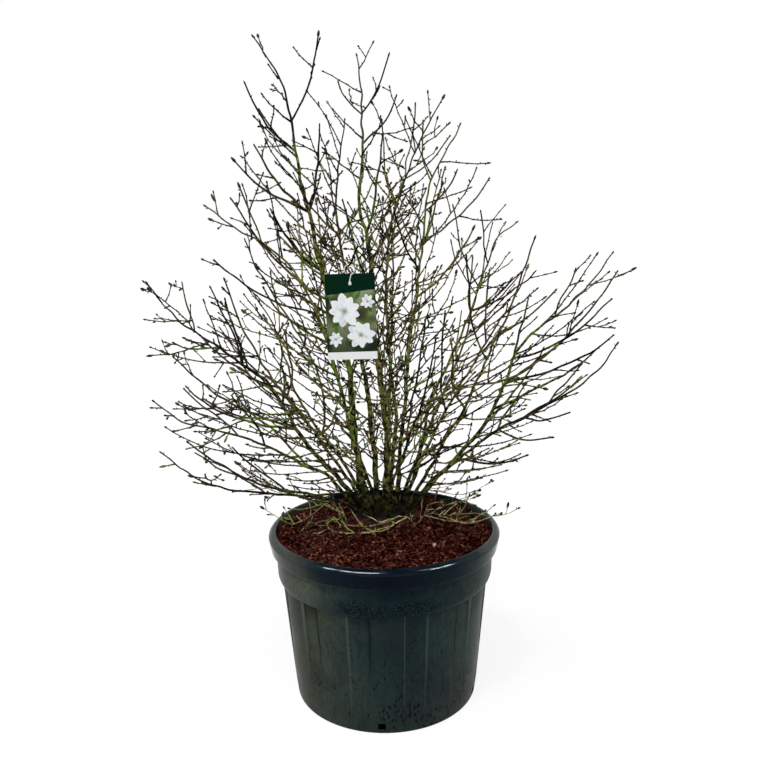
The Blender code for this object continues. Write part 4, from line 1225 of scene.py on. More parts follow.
def young_wood_finish(settings):
    """Paler bark of the low shoots, patched with fresh green and dark joints."""
    finish = Finish("young_bark", 0.75, 0.03)
    wide, scars, fine = finish.noise(18, 3), finish.noise(110, 4), finish.noise(600, 3)
    finish.colour = finish.ramp(
        scars, (0.36, (0.020, 0.016, 0.006)), (0.46, settings.young_colour),
        (0.57, (0.72, 0.66, 0.42)))
    finish.coat(settings.fresh_colour, (wide, 0.46, 0.56, 0.0, 0.85),
                (finish.axis("X"), 0.12, -0.12, 0.4, 1.0))
    finish.patch(wide, 0.44, 0.37, 0.60, settings.brown_twig)
    finish.patch(finish.attribute("tone"), 0.34, 0.08, 0.7, (0.090, 0.066, 0.030))
    finish.bump(finish.plus(scars, fine), 0.4, 0.0010)
    return finish.done()


def bud_finish(settings):
    """Furry bud scales, mostly dark, a few grey-green."""
    finish = Finish("bud_scales", 0.88, 0.03, sheen=0.05)
    fur = finish.noise(1500, 2, (1, 1, 0.4))
    finish.colour = finish.ramp(
        finish.attribute("tone"), (0.0, (0.008, 0.006, 0.004)), (0.60, settings.bud_colour),
        (0.84, (0.095, 0.088, 0.035)), (1.0, settings.pale_bud))
    finish.patch(fur, 0.46, 0.68, 0.25, (0.12, 0.12, 0.08))
    finish.coat(settings.fresh_bud, (finish.noise(11, 2), 0.60, 0.64),
                (finish.axis("Z"), 0.95, 0.75, 0.0, 0.85))
    finish.bump(fur, 0.5, 0.0005)
    return finish.done()


def print_finish(settings):
    """The card's printed front: a green head, a blurred garden picture and a bare white foot."""
    finish = Finish("label_print", 0.32, 0.015)
    up = finish.axis("Z")
    blur, spots = finish.noise(24, 1, roughness=0.4), finish.noise(70, 2, (1, 1, 0.5), 0.5)
    finish.colour = finish.ramp(
        blur, (0.42, settings.picture_dark), (0.50, settings.picture_green),
        (0.60, settings.picture_pale))
    finish.patch(spots, 0.52, 0.64, 0.5, (0.11, 0.075, 0.035))
    finish.patch(up, 0.030, -CARD_HEIGHT / 2, 0.92, settings.picture_dark)
    header_edge = finish.plus(finish.times(finish.axis("X"), HEADER_SLOPE),
                              CARD_HEIGHT * (0.5 - settings.header_share))
    finish.coat(settings.header_colour, finish.maths("GREATER_THAN", up, header_edge))
    foot_line = CARD_HEIGHT * (settings.footer_share - 0.5)
    finish.coat(settings.paper_colour, finish.maths("LESS_THAN", up, foot_line))
    return finish.done()


def picture_finish(settings):
    """Printed petals, leaves and stamens, told apart by their tone."""
    finish = Finish("label_blossoms", 0.34, 0.02)
    finish.colour = finish.ramp(
        finish.attribute("tone"), (0.0, settings.leaf_colour), (0.20, (0.13, 0.24, 0.05)),
        (0.40, (0.50, 0.47, 0.14)), (0.50, (0.42, 0.48, 0.55)), (0.84, settings.petal_colour))
    finish.patch(finish.noise(90, 3), 0.45, 0.75, 0.12, (0.50, 0.56, 0.58))
    return finish.done()


def paper_finish(settings):
    finish = Finish("label_paper", 0.42, 0.1)
    finish.colour = settings.paper_colour
    finish.patch(finish.noise(120, 2), 0.3, 0.7, 0.3, (0.70, 0.71, 0.68))
    return finish.done()


def strap_finish(settings):
    finish = Finish("strap_plastic", 0.32, 0.3)
    finish.colour = settings.strap_colour
    finish.patch(finish.noise(220, 2), 0.35, 0.7, 0.4, (0.62, 0.65, 0.64))
    return finish.done()


# ---- container ----


def arc(centre, radius, start, end, steps):
    """Points on an arc from start to end, in degrees."""
    angles = [math.radians(start + (end - start) * step / steps) for step in range(steps + 1)]
    return [(centre[0] + radius * math.cos(a), centre[1] + radius * math.sin(a)) for a in angles]


def run_of_arcs(start, *bends):
    """Arcs (radius, first and last angle, steps) that each start where the one before ends."""
    points = [start]
    for radius, first, last, steps in bends:
        angle, (x, y) = math.radians(first), points[-1]
        centre = (x - radius * math.cos(angle), y - radius * math.sin(angle))
        points += arc(centre, radius, first, last, steps)[1:]
    return points


def spaced(start, end, steps):
    """Points on a straight run between two profile points, without the last."""
    return [tuple(np.add(start, np.subtract(end, start) * step / steps)) for step in range(steps)]


def beside(radius, height, *offsets):
    """Profile points given by their offsets in mm from a radius and a height."""
    return [(radius + out * MM, height + up * MM) for out, up in offsets]


def wall_radius(height):
    """Outer radius of the fluted wall at a height."""
    share = (height - FLUTED_FOOT_HEIGHT) / (LEDGE_HEIGHT - FLUTED_FOOT_HEIGHT)
    return FLUTED_FOOT_RADIUS + (FLUTED_TOP_RADIUS - FLUTED_FOOT_RADIUS) * share


def on_wall(height):
    return wall_radius(height), height


def container_outline():
    """Closed profile of the wall: up the outside, over the lip, down the inside."""
    rim, lip_foot = RIM_DIAMETER / 2, HEIGHT - LIP_HEIGHT
    below_ledge, foot = LEDGE_HEIGHT - 9 * MM, on_wall(FLUTED_FOOT_HEIGHT)
    outside = beside(BASE_RADIUS, 0.0, (-3, 0))
    outside += arc((BASE_RADIUS - 2 * MM, 3 * MM), 3 * MM, -75, 0, 4)
    outside += spaced((BASE_RADIUS + 1.6 * MM, 8 * MM), foot, 3)
    outside += spaced(foot, on_wall(below_ledge), 22)
    outside += [on_wall(LEDGE_HEIGHT - drop * MM) for drop in (9, 7.6, 6.4, 5.4, 4.4, 3.4, 2.4)]
    outside += beside(FLUTED_TOP_RADIUS, LEDGE_HEIGHT, (0.5, -0.6), (2.6, 0.6), (4.8, 2.0))
    outside += beside(SHOULDER_RADIUS, LEDGE_HEIGHT, (-3.6, 4.2), (-2.4, 7), (-1.2, 11))
    outside += spaced((SHOULDER_RADIUS - 0.4 * MM, LEDGE_HEIGHT + 15 * MM),
                      (SHOULDER_RADIUS + 1.3 * MM, lip_foot - 4 * MM), 8)
    outside += beside(SHOULDER_RADIUS, lip_foot, (1.6, -2.2), (3.2, -0.8), (6.0, -0.4))
    lip = arc((rim - 7.6 * MM, lip_foot + 2.6 * MM), 2.8 * MM, -80, -8, 5)
    lip += spaced((rim - 4.2 * MM, lip_foot + 6 * MM), (rim - 0.9 * MM, HEIGHT - 17 * MM), 5)
    lip += run_of_arcs((rim - 0.54 * MM, HEIGHT - 14.4 * MM),
                       (8.5 * MM, -18, 33, 6), (20 * MM, 33, 53, 8), (9 * MM, 53, 84, 4))
    lip += arc((rim - 12.6 * MM, HEIGHT - 3.4 * MM), 3.4 * MM, 96, 180, 6)
    inside = [
        (rim - LIP_WIDTH - 0.4 * MM, HEIGHT - 12 * MM),
        (SHOULDER_RADIUS - WALL, lip_foot),
        (SHOULDER_RADIUS - 3 * MM - WALL, LEDGE_HEIGHT + 5 * MM),
        (wall_radius(LEDGE_HEIGHT) - FLUTE_DEPTH - WALL, LEDGE_HEIGHT - 3 * MM),
        (FLUTED_FOOT_RADIUS - 2 * WALL, FLUTED_FOOT_HEIGHT),
        (BASE_RADIUS - WALL, FLOOR + 3 * MM),
        (BASE_RADIUS - WALL - 3 * MM, FLOOR),
    ]
    return outside, lip + inside


def flute_columns():
    """Azimuth, offset from its flute's middle and flute of each column, close at the edges."""
    half, pitch = FLUTE_ARC / 2, 2 * math.pi / FLUTE_COUNT
    inward = np.radians((-0.65, -0.32, -0.10, 0.10, 0.32, 0.65, 1.30, 2.40))
    marks = np.r_[
        np.linspace(-pitch / 2, -half + inward[0], 6)[:-1], inward - half,
        np.linspace(-half + inward[-1], half - inward[-1], 5)[1:-1],
        half - inward[::-1], np.linspace(half - inward[0], pitch / 2, 6)[1:-1],
    ]
    middles = (np.arange(FLUTE_COUNT) + 0.5) * pitch - math.pi / 2 + FLUTE_TURN
    azimuths = (middles[:, None] + marks[None, :]).ravel()
    flutes = np.repeat(np.arange(FLUTE_COUNT), len(marks))
    return list(zip(azimuths, np.tile(marks, FLUTE_COUNT), flutes))


def share_of_flute(height):
    """0 at the foot of the flutes, 1 at their top."""
    return (height - FLUTE_FOOT) / (FLUTE_TOP - FLUTE_FOOT)


def flute_press(offset, height):
    """How far a flute is pressed in, from how far a column is from its middle and its height."""
    if not FLUTE_FOOT - 12 * MM <= height <= FLUTE_TOP + 1.2 * MM:
        return 0.0
    half, soft = FLUTE_ARC / 2, math.radians(0.32)
    across = np.clip((half + soft - abs(offset)) / (2 * soft), 0.0, 1.0)
    depth = FLUTE_FOOT_DEPTH + (FLUTE_DEPTH - FLUTE_FOOT_DEPTH) * share_of_flute(height)
    upper = min(1.0, (FLUTE_TOP + 1.2 * MM - height) / (1.6 * MM))
    return FLUTE_LOOK * max(0.0, depth) * upper * across * across * (3 - 2 * across)


def flute_edge_lighting(flute, offset, height):
    """Painted light on a flute's long edges: above 0 a painted highlight line, below 0 painted shade
    inside the recess.
    """
    if not FLUTE_FOOT < height < FLUTE_TOP + 3 * MM:
        return 0.0
    painted_light = FLUTE_EDGE_LIGHTING[flute][int(offset > 0)]
    inward = FLUTE_ARC / 2 - abs(offset)
    share = share_of_flute(height)
    if painted_light > 0:
        return painted_light * max(0.0, 1 - abs(inward) / math.radians(0.60)) * (0.15 + 0.85 * share ** 1.3)
    if inward < 0:
        return 0.0
    return painted_light * max(0.0, 1 - inward / math.radians(2.4)) * float(np.clip(2 * share - 0.5, 0, 1))


def make_container_piece(settings):
    outside, within = container_outline()
    profile, columns = outside + within, flute_columns()
    points, painted_light = [], []
    for row, (radius, height) in enumerate(profile):
        for azimuth, offset, flute in columns:
            fluted = row < len(outside)
            pressed = radius - (flute_press(offset, height) if fluted else 0.0)
            painted_light.append(flute_edge_lighting(flute, offset, height) if fluted else 0.0)
            points.append((pressed * math.cos(azimuth), pressed * math.sin(azimuth), height))
    shell = new_piece("container_shell", points, bar_faces(len(profile), len(columns)))
    # The edge attribute carries the painted highlight and shade of the flute edges.
    shell.data.attributes.new("edge", "FLOAT", "POINT").data.foreach_set("value", painted_light)
    for index in range(NOTCH_COUNT):
        cut_notch(shell, NOTCH_TURN + 2 * math.pi * index / NOTCH_COUNT - math.pi / 2)
    shell.data.materials.append(container_body_finish(settings))
    shell.data.materials.append(container_lip_finish(settings))
    lip_foot = HEIGHT - LIP_HEIGHT - 0.3 * MM
    for face in shell.data.polygons:
        face.material_index = 1 if face.center.z > lip_foot else 0
    smooth_faces(shell.data, 48)
    place_on_root(shell, "container", "container")


def cut_notch(shell, azimuth):
    """Cut one drain notch with slightly rounded corners through the foot of the wall."""
    form = bmesh.new()
    bmesh.ops.create_cube(form, size=1.0)
    bmesh.ops.scale(form, vec=(NOTCH_CUT, NOTCH_SIZE, NOTCH_SIZE), verts=form.verts)
    long_edges = [edge for edge in form.edges
                  if abs((edge.verts[0].co - edge.verts[1].co).x) > 10 * MM]
    bmesh.ops.bevel(form, geom=long_edges, offset=1.5 * MM, segments=3, affect="EDGES")
    bmesh.ops.translate(form, vec=(BASE_RADIUS + 2 * MM, 0, NOTCH_SILL + NOTCH_SIZE / 2),
                        verts=form.verts)
    bmesh.ops.rotate(form, cent=(0, 0, 0), matrix=Matrix.Rotation(azimuth, 3, "Z"),
                     verts=form.verts)
    cutter = put_in_scene("notch", mesh_of(form, "notch"))
    modifier = shell.modifiers.new("notch", "BOOLEAN")
    modifier.operation, modifier.solver, modifier.object = "DIFFERENCE", "EXACT", cutter
    bpy.context.view_layer.update()
    shell.data = bpy.data.meshes.new_from_object(
        shell.evaluated_get(bpy.context.evaluated_depsgraph_get()))
    shell.modifiers.clear()
    bpy.data.objects.remove(cutter, do_unlink=True)


# ---- soil and its bits ----


def make_mound(name, rings, spokes, spot, relief, bottom, finish):
    """A closed mound: rings of places about a middle, with a skirt down to a flat bottom."""
    spots = [spot(0, 0)]
    spots += [spot(ring, spoke) for ring in range(1, rings + 1) for spoke in range(spokes)]
    points = [(x, y, relief(x, y)) for x, y in spots]
    points += [(x, y, bottom) for x, y in spots[-spokes:]]
    faces = [(0, 1 + spoke, 1 + (spoke + 1) % spokes) for spoke in range(spokes)]
    for ring in range(rings):
        for spoke in range(spokes):
            after = (spoke + 1) % spokes
            inner, outer = 1 + ring * spokes, 1 + (ring + 1) * spokes
            faces.append((inner + spoke, outer + spoke, outer + after, inner + after))
    faces.append(tuple(1 + rings * spokes + spoke for spoke in range(spokes - 1, -1, -1)))
    mound = new_piece(name, points, faces, finish)
    mound.data.shade_smooth()
    return mound


def soil_relief(x, y):
    """Height of the rough soil surface."""
    spot = Vector((x, y, 0.0))
    lumps = 3.2 * MM * noise.noise(spot * 38) + 2.0 * MM * noise.noise(spot * 95 + Vector((5, 0, 0)))
    grit = 1.9 * MM * noise.noise(spot * 260) + 0.9 * MM * noise.noise(spot * 620)
    edge = min(1.0, max(0.0, (SOIL_RADIUS - math.hypot(x, y)) / (20 * MM)))
    return soil_height(x, y) + (lumps * (0.4 + 0.6 * edge) + grit)


def make_soil_piece(settings):
    rings, spokes = 150, 300

    def spot(ring, spoke):
        radius = SOIL_RADIUS * (ring / rings) ** 0.8
        azimuth = 2 * math.pi * (spoke + 0.5 * (ring % 2)) / spokes
        return radius * math.cos(azimuth), radius * math.sin(azimuth)

    soil = make_mound("soil_surface", rings, spokes, spot, soil_relief,
                      SOIL_EDGE_HEIGHT - 12 * MM, soil_finish(settings))
    place_on_root(soil, "soil", "potting_soil")


def random_soil_spot(rng, margin):
    """A place on the soil outside the root crown."""
    while True:
        radius, azimuth = (SOIL_RADIUS - margin) * math.sqrt(rng.random()), rng.uniform(0, 2 * math.pi)
        x, y = radius * math.cos(azimuth), radius * math.sin(azimuth)
        if from_crown(x, y) > CROWN_RADIUS * 0.86:
            return x, y


CHIP_CORNERS = [(x, y, z) for z in (-1, 1) for y in (-1, 1) for x in (-1, 1)]
CHIP_FACES = ((0, 2, 3, 1), (4, 5, 7, 6), (0, 1, 5, 4), (2, 6, 7, 3), (0, 4, 6, 2), (1, 3, 7, 5))


def add_chip(mesher, rng, spot, size, tone, sink):
    """One broken flake: a block with pushed corners, lying at a tilt."""
    turn = Matrix.Rotation(rng.uniform(0, 2 * math.pi), 3, "Z")
    for axis in "XY":
        turn = turn @ Matrix.Rotation(rng.gauss(0, 0.42), 3, axis)
    middle = Vector((*spot, soil_relief(*spot) + size[2] * sink))
    points = []
    for corner in CHIP_CORNERS:
        pushed = [side * reach / 2 * rng.uniform(0.55, 1.15) for side, reach in zip(corner, size)]
        points.append(middle + turn @ Vector(pushed))
    mesher.add(points, CHIP_FACES, 0, size[2], tone)


def make_chips_piece(settings):
    rng = random.Random(11)
    mesher = Mesher()
    for number in range(settings.chip_count):
        long = rng.uniform(2.4, 6.5) if number % 12 else rng.uniform(7, 12)
        size = (long * MM, long * rng.uniform(0.35, 0.8) * MM, rng.uniform(0.8, 2.4) * MM)
        add_chip(mesher, rng, random_soil_spot(rng, 8 * MM), size, rng.random() ** 1.5,
                 rng.uniform(0.0, 0.6))
    place_on_root(mesher.build("soil_chips", [chip_finish(settings)], 25), "soil")


def make_fibres_piece(settings):
    """Fine curled fibres that arch a little over the soil."""
    rng = random.Random(12)
    mesher = Mesher()
    for _ in range(settings.fibre_count):
        x, y = random_soil_spot(rng, 18 * MM)
        heading, length = rng.uniform(0, 2 * math.pi), rng.uniform(4, 14) * MM
        curl, path = rng.uniform(-1.0, 1.0), []
        for step in range(5):
            lift = math.sin(math.pi * step / 4) * rng.uniform(0.4, 2.0) * MM
            path.append((x, y, soil_relief(x, y) + 0.5 * MM + lift))
            x += math.cos(heading) * length / 4
            y += math.sin(heading) * length / 4
            heading += curl * 0.35
        radius = rng.uniform(0.22, 0.45) * MM
        points, faces = tube_mesh(path, [radius * 0.6, radius, radius, radius, radius * 0.5], 3)
        mesher.add(points, faces, 0, radius, rng.random())
    place_on_root(mesher.build("soil_fibres", [fibre_finish(settings)], 60), "soil")


def make_grains_piece(settings):
    """A few pale grains of grit that lie on the soil."""
    rng = random.Random(13)
    mesher = Mesher()
    for x, y, size in GRAINS:
        add_chip(mesher, rng, (x * CM, y * CM), (size * MM, size * 0.8 * MM, size * 0.6 * MM),
                 0.5, 0.4)
    place_on_root(mesher.build("soil_grains", [grain_finish(settings)], 30), "soil")


def crown_relief(x, y):
    """Height of the knobbly crown, which swells round each stem's foot."""
    spot = Vector((x, y, 0.3))
    knobs = 6.5 * MM * noise.noise(spot * 42) + 3.5 * MM * noise.noise(spot * 95)
    knobs += 1.6 * MM * noise.noise(spot * 240)
    swell = 0.0
    for thickness, route, _ in STEMS.values():
        away = math.hypot(x - route[0][0] * CM, y - route[0][1] * CM)
        swell = max(swell, 5 * MM * math.exp(-((away / (thickness * 0.85 * MM)) ** 2)))
    fall = max(0.0, from_crown(x, y) / CROWN_RADIUS - 0.92) * 190 * MM
    return crown_height(x, y) + knobs + swell - fall


def make_crown_piece(settings):
    rings, spokes = 56, 150

    def spot(ring, spoke):
        azimuth = 2 * math.pi * spoke / spokes
        out = Vector((math.cos(azimuth), math.sin(azimuth), 2))
        radius = CROWN_RADIUS * 1.08 * ring / rings * (1 + 0.10 * noise.noise(out * 1.8))
        return CROWN_CENTRE.x + radius * math.cos(azimuth), CROWN_CENTRE.y + radius * math.sin(azimuth)

    crown = make_mound("crown_wood", rings, spokes, spot, crown_relief,
                       SOIL_EDGE_HEIGHT - 14 * MM, crown_finish(settings))
    place_on_root(crown, "root_crown", "root_crown")


# ---- label and strap ----


def bent(depth, up):
    """The card bows a little along its height."""
    return depth - CARD_BOW * (1 - (2 * up / CARD_HEIGHT) ** 2)


def bmesh_items(result, kind):
    return [item for item in result["geom"] if isinstance(item, kind)]


def card_front(form):
    """The card's face with its rounded corners and its hole, cut into strips so that it can bend."""
    half = Vector((CARD_WIDTH / 2 - CARD_CORNER, CARD_HEIGHT / 2 - CARD_CORNER))
    outline = []
    for turn, (x, z) in enumerate(((1, 1), (-1, 1), (-1, -1), (1, -1))):
        outline += arc((x * half.x, z * half.y), CARD_CORNER, 90 * turn, 90 * turn + 90, 5)
    hole = arc((0.0, HOLE_HEIGHT), HOLE_RADIUS, 0, 345, 23)
    edges = []
    for loop in (outline, hole):
        verts = [form.verts.new((x, -CARD_THICKNESS / 2, z)) for x, z in loop]
        edges += [form.edges.new(pair) for pair in zip(verts, verts[1:] + verts[:1])]
    bmesh.ops.triangle_fill(form, edges=edges, use_beauty=True, use_dissolve=False)
    for step in range(1, 20):
        bmesh.ops.bisect_plane(form, geom=[*form.verts, *form.edges, *form.faces],
                               plane_co=(0, 0, CARD_HEIGHT * (step / 20 - 0.5)),
                               plane_no=(0, 0, 1))
    front = list(form.faces)
    bmesh.ops.recalc_face_normals(form, faces=front)
    if front[0].normal.y > 0:
        bmesh.ops.reverse_faces(form, faces=front)


def make_card_piece(settings):
    form = bmesh.new()
    card_front(form)
    back = bmesh.ops.duplicate(form, geom=[*form.verts, *form.edges, *form.faces])
    paper = bmesh_items(back, bmesh.types.BMFace)
    bmesh.ops.reverse_faces(form, faces=paper)
    bmesh.ops.translate(form, vec=(0, CARD_THICKNESS, 0),
                        verts=bmesh_items(back, bmesh.types.BMVert))
    rims = [edge for edge in form.edges if edge.is_boundary]
    for face in paper + bmesh.ops.bridge_loops(form, edges=rims)["faces"]:
        face.material_index = 1
    for vert in form.verts:
        vert.co.y = bent(vert.co.y, vert.co.z)
    card = put_in_scene("label_sheet", mesh_of(form, "label_sheet", print_finish(settings),
                                               paper_finish(settings)))
    card.matrix_world = label_place()
    place_on_root(card, "label_card", "plant_label")


def add_petal(mesher, centre, angle, length, width, tone, layer):
    """A flat pointed oval that starts near the centre, with a darker midline."""
    sides = [(share * length, spread * width / 2) for share, spread in PETAL_FORM]
    outline = [(along, -out) for along, out in sides] + [(length, 0.0)] + sides[::-1]
    depth = -CARD_THICKNESS / 2 - (0.12 + 0.05 * layer) * MM
    cos, sin = math.cos(angle), math.sin(angle)
    points = []
    for along, out in outline + [(0.45 * length, 0.0)]:
        x, z = centre[0] + along * cos - out * sin, centre[1] + along * sin + out * cos
        points.append((x, bent(depth, z), z))
    middle = len(points) - 1
    faces = [(middle, index, (index + 1) % middle) for index in range(middle)]
    if np.cross(np.subtract(points[1], points[0]), np.subtract(points[middle], points[0]))[1] < 0:
        faces = [face[::-1] for face in faces]
    tones = [tone] * middle + [tone - 0.14]
    if tone > 0.5:
        tones[0] = tones[middle - 1] = 0.52
    mesher.add(points, faces, 0, 0.0, tones)


def add_blossom(mesher, rng, centre, radius, petals, layer):
    """Two rounds of broad petals about a small boss of stamens."""
    start = rng.uniform(0, 2 * math.pi)
    for ring, (reach, count) in enumerate(((1.0, petals), (0.72, petals - 1))):
        for index in range(count):
            angle = start + ring * 0.4 + 2 * math.pi * (index + rng.uniform(-0.12, 0.12)) / count
            length = radius * reach * rng.uniform(0.88, 1.05)
            add_petal(mesher, centre, angle, length, length * 0.54,
                      rng.uniform(0.76, 1.0), layer + ring * 2 + index % 2)
    for index in range(8):
        add_petal(mesher, centre, 2 * math.pi * index / 8, radius * 0.13, radius * 0.06, 0.42,
                  layer + 5)


def make_picture_piece(settings):
    """The blossoms printed on the card."""
    rng = random.Random(21)
    mesher = Mesher()
    for x, z, angle, length in PICTURE_LEAVES:
        add_petal(mesher, (x * MM, z * MM), math.radians(angle), length * MM, length * 0.42 * MM,
                  rng.uniform(0.08, 0.26), 0)
    for x, z, radius, petals in PICTURE_BLOSSOMS:
        add_blossom(mesher, rng, (x * MM, z * MM), radius * MM, petals, 1)
    picture = mesher.build("label_picture", [picture_finish(settings)], 80)
    picture.matrix_world = label_place()
    place_on_root(picture, "label_card")


def strap_points():
    """From the tab up the card's front, round the ring, and down behind it into the hole."""
    stand_off = CARD_THICKNESS / 2 + STRAP_RADIUS + GAP
    centre, neck, turns = ring_centre(), math.radians(16), 28
    points = [Vector((0.0, -stand_off - 0.4 * MM, HOLE_HEIGHT)),
              Vector((0.0, -stand_off, HOLE_HEIGHT + 5 * MM))]
    for step in range(turns + 1):
        angle = -math.pi / 2 + neck + (2 * math.pi - 2 * neck) * step / turns
        points.append(centre + Vector((STRAP_RING_RADIUS * math.cos(angle),
                                       stand_off * (2 * step / turns - 1),
                                       STRAP_RING_RADIUS * math.sin(angle))))
    return points + [Vector((0.0, stand_off, HOLE_HEIGHT + 5 * MM)),
                     Vector((0.0, stand_off + 0.3 * MM, HOLE_HEIGHT + 1.2 * MM)),
                     Vector((0.0, 0.6 * MM, HOLE_HEIGHT)),
                     Vector((0.0, -stand_off, HOLE_HEIGHT - 0.2 * MM))]


def make_strap_piece(settings):
    mesher = Mesher()
    path = smooth_route(strap_points(), 1.2 * MM)
    mesher.add(*tube_mesh(path, np.full(len(path), STRAP_RADIUS), 10))
    strap = mesher.build("strap_loop", [strap_finish(settings)])
    form = bmesh.new()
    bmesh.ops.create_cube(form, size=1.0)
    bmesh.ops.scale(form, vec=TAB_SIZE, verts=form.verts)
    bmesh.ops.bevel(form, geom=form.edges[:], offset=0.6 * MM, segments=3, affect="EDGES")
    stand_off = CARD_THICKNESS / 2 + GAP + TAB_SIZE.y / 2
    bmesh.ops.translate(form, vec=(0.0, -stand_off - CARD_BOW, HOLE_HEIGHT), verts=form.verts)
    form.from_mesh(strap.data)
    form.to_mesh(strap.data)
    form.free()
    smooth_faces(strap.data, 50)
    strap.matrix_world = label_place()
    place_on_root(strap, "strap", "label_strap")


# ---- stage ----


def make_world(settings):
    world = bpy.data.worlds.new("studio")
    bpy.context.scene.world = world
    world.use_nodes = True
    world.node_tree.nodes.clear()
    nodes = Nodes(world.node_tree)
    lit = nodes.node("Background", {"Color": (0.97, 0.99, 1.0), "Strength": settings.ambient_strength})
    seen = nodes.node("Background", {"Color": (1.0, 1.0, 1.0), "Strength": 1.0})
    mix = nodes.node("MixShader", {"Fac": nodes.seen_by_eye(), 1: lit.outputs["Background"],
                                   2: seen.outputs["Background"]})
    nodes.node("OutputWorld", {"Surface": mix.outputs["Shader"]})


def make_floor(settings):
    """A pale floor that adds its own light for the eye, so that only the shadow tells it apart."""
    material = bpy.data.materials.new("floor")
    material.use_nodes = True
    material.node_tree.nodes.clear()
    nodes = Nodes(material.node_tree)
    glow = nodes.times(nodes.seen_by_eye(), settings.floor_glow)
    layers = {0: nodes.node("BsdfDiffuse", {"Color": settings.floor_colour}).outputs["BSDF"],
              1: nodes.node("Emission", {"Strength": glow}).outputs["Emission"]}
    nodes.node("OutputMaterial", {"Surface": nodes.node("AddShader", layers).outputs["Shader"]})
    form = bmesh.new()
    bmesh.ops.create_grid(form, x_segments=1, y_segments=1, size=settings.floor_reach)
    floor = put_in_scene("floor", mesh_of(form, "floor", material))
    floor.location.z = -1 * MM


def make_sun(name, strength, azimuth, elevation, spread, only_gloss=False):
    """A soft lamp that shines from a direction, in degrees; one for gloss alone makes highlights."""
    lamp = bpy.data.lights.new(name, "SUN")
    lamp.energy, lamp.angle = strength, math.radians(spread)
    sun = put_in_scene(name, lamp)
    a, e = math.radians(azimuth), math.radians(elevation)
    source = Vector((math.sin(a) * math.cos(e), -math.cos(a) * math.cos(e), math.sin(e)))
    sun.rotation_euler = source.to_track_quat("Z", "Y").to_euler()
    sun.visible_diffuse = not only_gloss


def make_camera(settings):
    lens = bpy.data.cameras.new("camera")
    lens.lens, lens.sensor_width = settings.lens, 36.0
    camera = put_in_scene("camera", lens)
    pitch, roll = settings.pitch, settings.roll
    ahead = Vector((0.0, math.cos(pitch), -math.sin(pitch)))
    across, above = Vector((1.0, 0.0, 0.0)), Vector((0.0, math.sin(pitch), math.cos(pitch)))
    right = math.cos(roll) * across + math.sin(roll) * above
    place = Matrix((right, right.cross(ahead), -ahead)).transposed().to_4x4()
    place.translation = (settings.camera_side, -settings.camera_distance, settings.camera_height)
    camera.matrix_world = place
    bpy.context.scene.camera = camera


# ---- settings and commands ----


def colour_property(name, description, value):
    return bpy.props.FloatVectorProperty(name=name, description=description, default=value,
                                         size=3, min=0.0, max=1.0, subtype="COLOR")


def number_property(name, description, value, **options):
    return bpy.props.FloatProperty(name=name, description=description, default=value, **options)


class MagnoliaContainerSettings(bpy.types.PropertyGroup):
    """Colours of the nursery container."""

    wall_colour: colour_property("Wall", "Front of the wall", (0.0098, 0.0275, 0.0268))
    wall_tint: colour_property("Wall tint", "Wall to either side", (0.0245, 0.0405, 0.0370))
    # These two colours paint the reflection that lightens the wall towards its flanks.
    wall_flank_sheen: colour_property("Wall dust", "Dusty green flanks", (0.038, 0.055, 0.046))
    flank_sheen: colour_property("Flank dust", "Dustiest part of the flanks", (0.050, 0.064, 0.047))
    wall_shade: colour_property("Wall shade", "Violet grey patches", (0.018, 0.0185, 0.0235))
    foot_colour: colour_property("Foot", "Soiled foot of the wall", (0.030, 0.034, 0.024))
    shoulder_colour: colour_property("Shoulder", "Band under the lip", (0.0034, 0.0130, 0.0170))
    lip_colour: colour_property("Lip", "Darker, glossier lip", (0.0002, 0.0028, 0.0085))


class MagnoliaSoilSettings(bpy.types.PropertyGroup):
    """Colours and loose bits of the soil and the root crown."""

    dark_colour: colour_property("Dark", "Wet hollows", (0.0048, 0.0002, 0.0001))
    soil_colour: colour_property("Soil", "Peat and bark", (0.026, 0.0042, 0.0026))
    light_colour: colour_property("Light", "Dry crumbs", (0.140, 0.040, 0.028))
    chip_colour: colour_property("Chips", "Palest chips", (0.43, 0.175, 0.110))
    fibre_colour: colour_property("Fibres", "Rusty fibres", (0.42, 0.185, 0.110))
    grain_colour: colour_property("Grains", "Pale grit", (0.52, 0.44, 0.34))
    crown_colour: colour_property("Crown", "Bark of the crown", (0.0075, 0.0048, 0.0026))
    moss_colour: colour_property("Moss", "Moss on the crown", (0.035, 0.050, 0.010))
    chip_count: bpy.props.IntProperty(name="Chips", description="Loose bark chips",
                                      default=4200, min=0, max=9000)
    fibre_count: bpy.props.IntProperty(name="Fibres", description="Loose curled fibres",
                                       default=1100, min=0, max=4000)


class MagnoliaWoodSettings(bpy.types.PropertyGroup):
    """Colours of the bark and buds."""

    dark_twig: colour_property("Dark twigs", "Oldest twigs", (0.0042, 0.0030, 0.0020))
    twig_colour: colour_property("Twigs", "Most outer twigs", (0.036, 0.026, 0.017))
    brown_twig: colour_property("Brown twigs", "Sunned twigs", (0.088, 0.064, 0.042))
    green_twig: colour_property("Green twigs", "Youngest twigs", (0.140, 0.138, 0.058))
    stem_colour: colour_property("Stems", "Bark of the stems", (0.036, 0.041, 0.010))
    algae_colour: colour_property("Algae", "Green film on damp bark", (0.150, 0.275, 0.024))
    young_colour: colour_property("Low shoots", "Bark of the low shoots", (0.44, 0.41, 0.16))
    fresh_colour: colour_property("Fresh green", "Green on the low shoots", (0.30, 0.44, 0.070))
    bud_colour: colour_property("Buds", "Most buds", (0.034, 0.026, 0.015))
    fresh_bud: colour_property("Fresh buds", "Opening buds in the heart", (0.150, 0.250, 0.050))
    pale_bud: colour_property("Pale buds", "Flower buds in fur", (0.28, 0.29, 0.10))


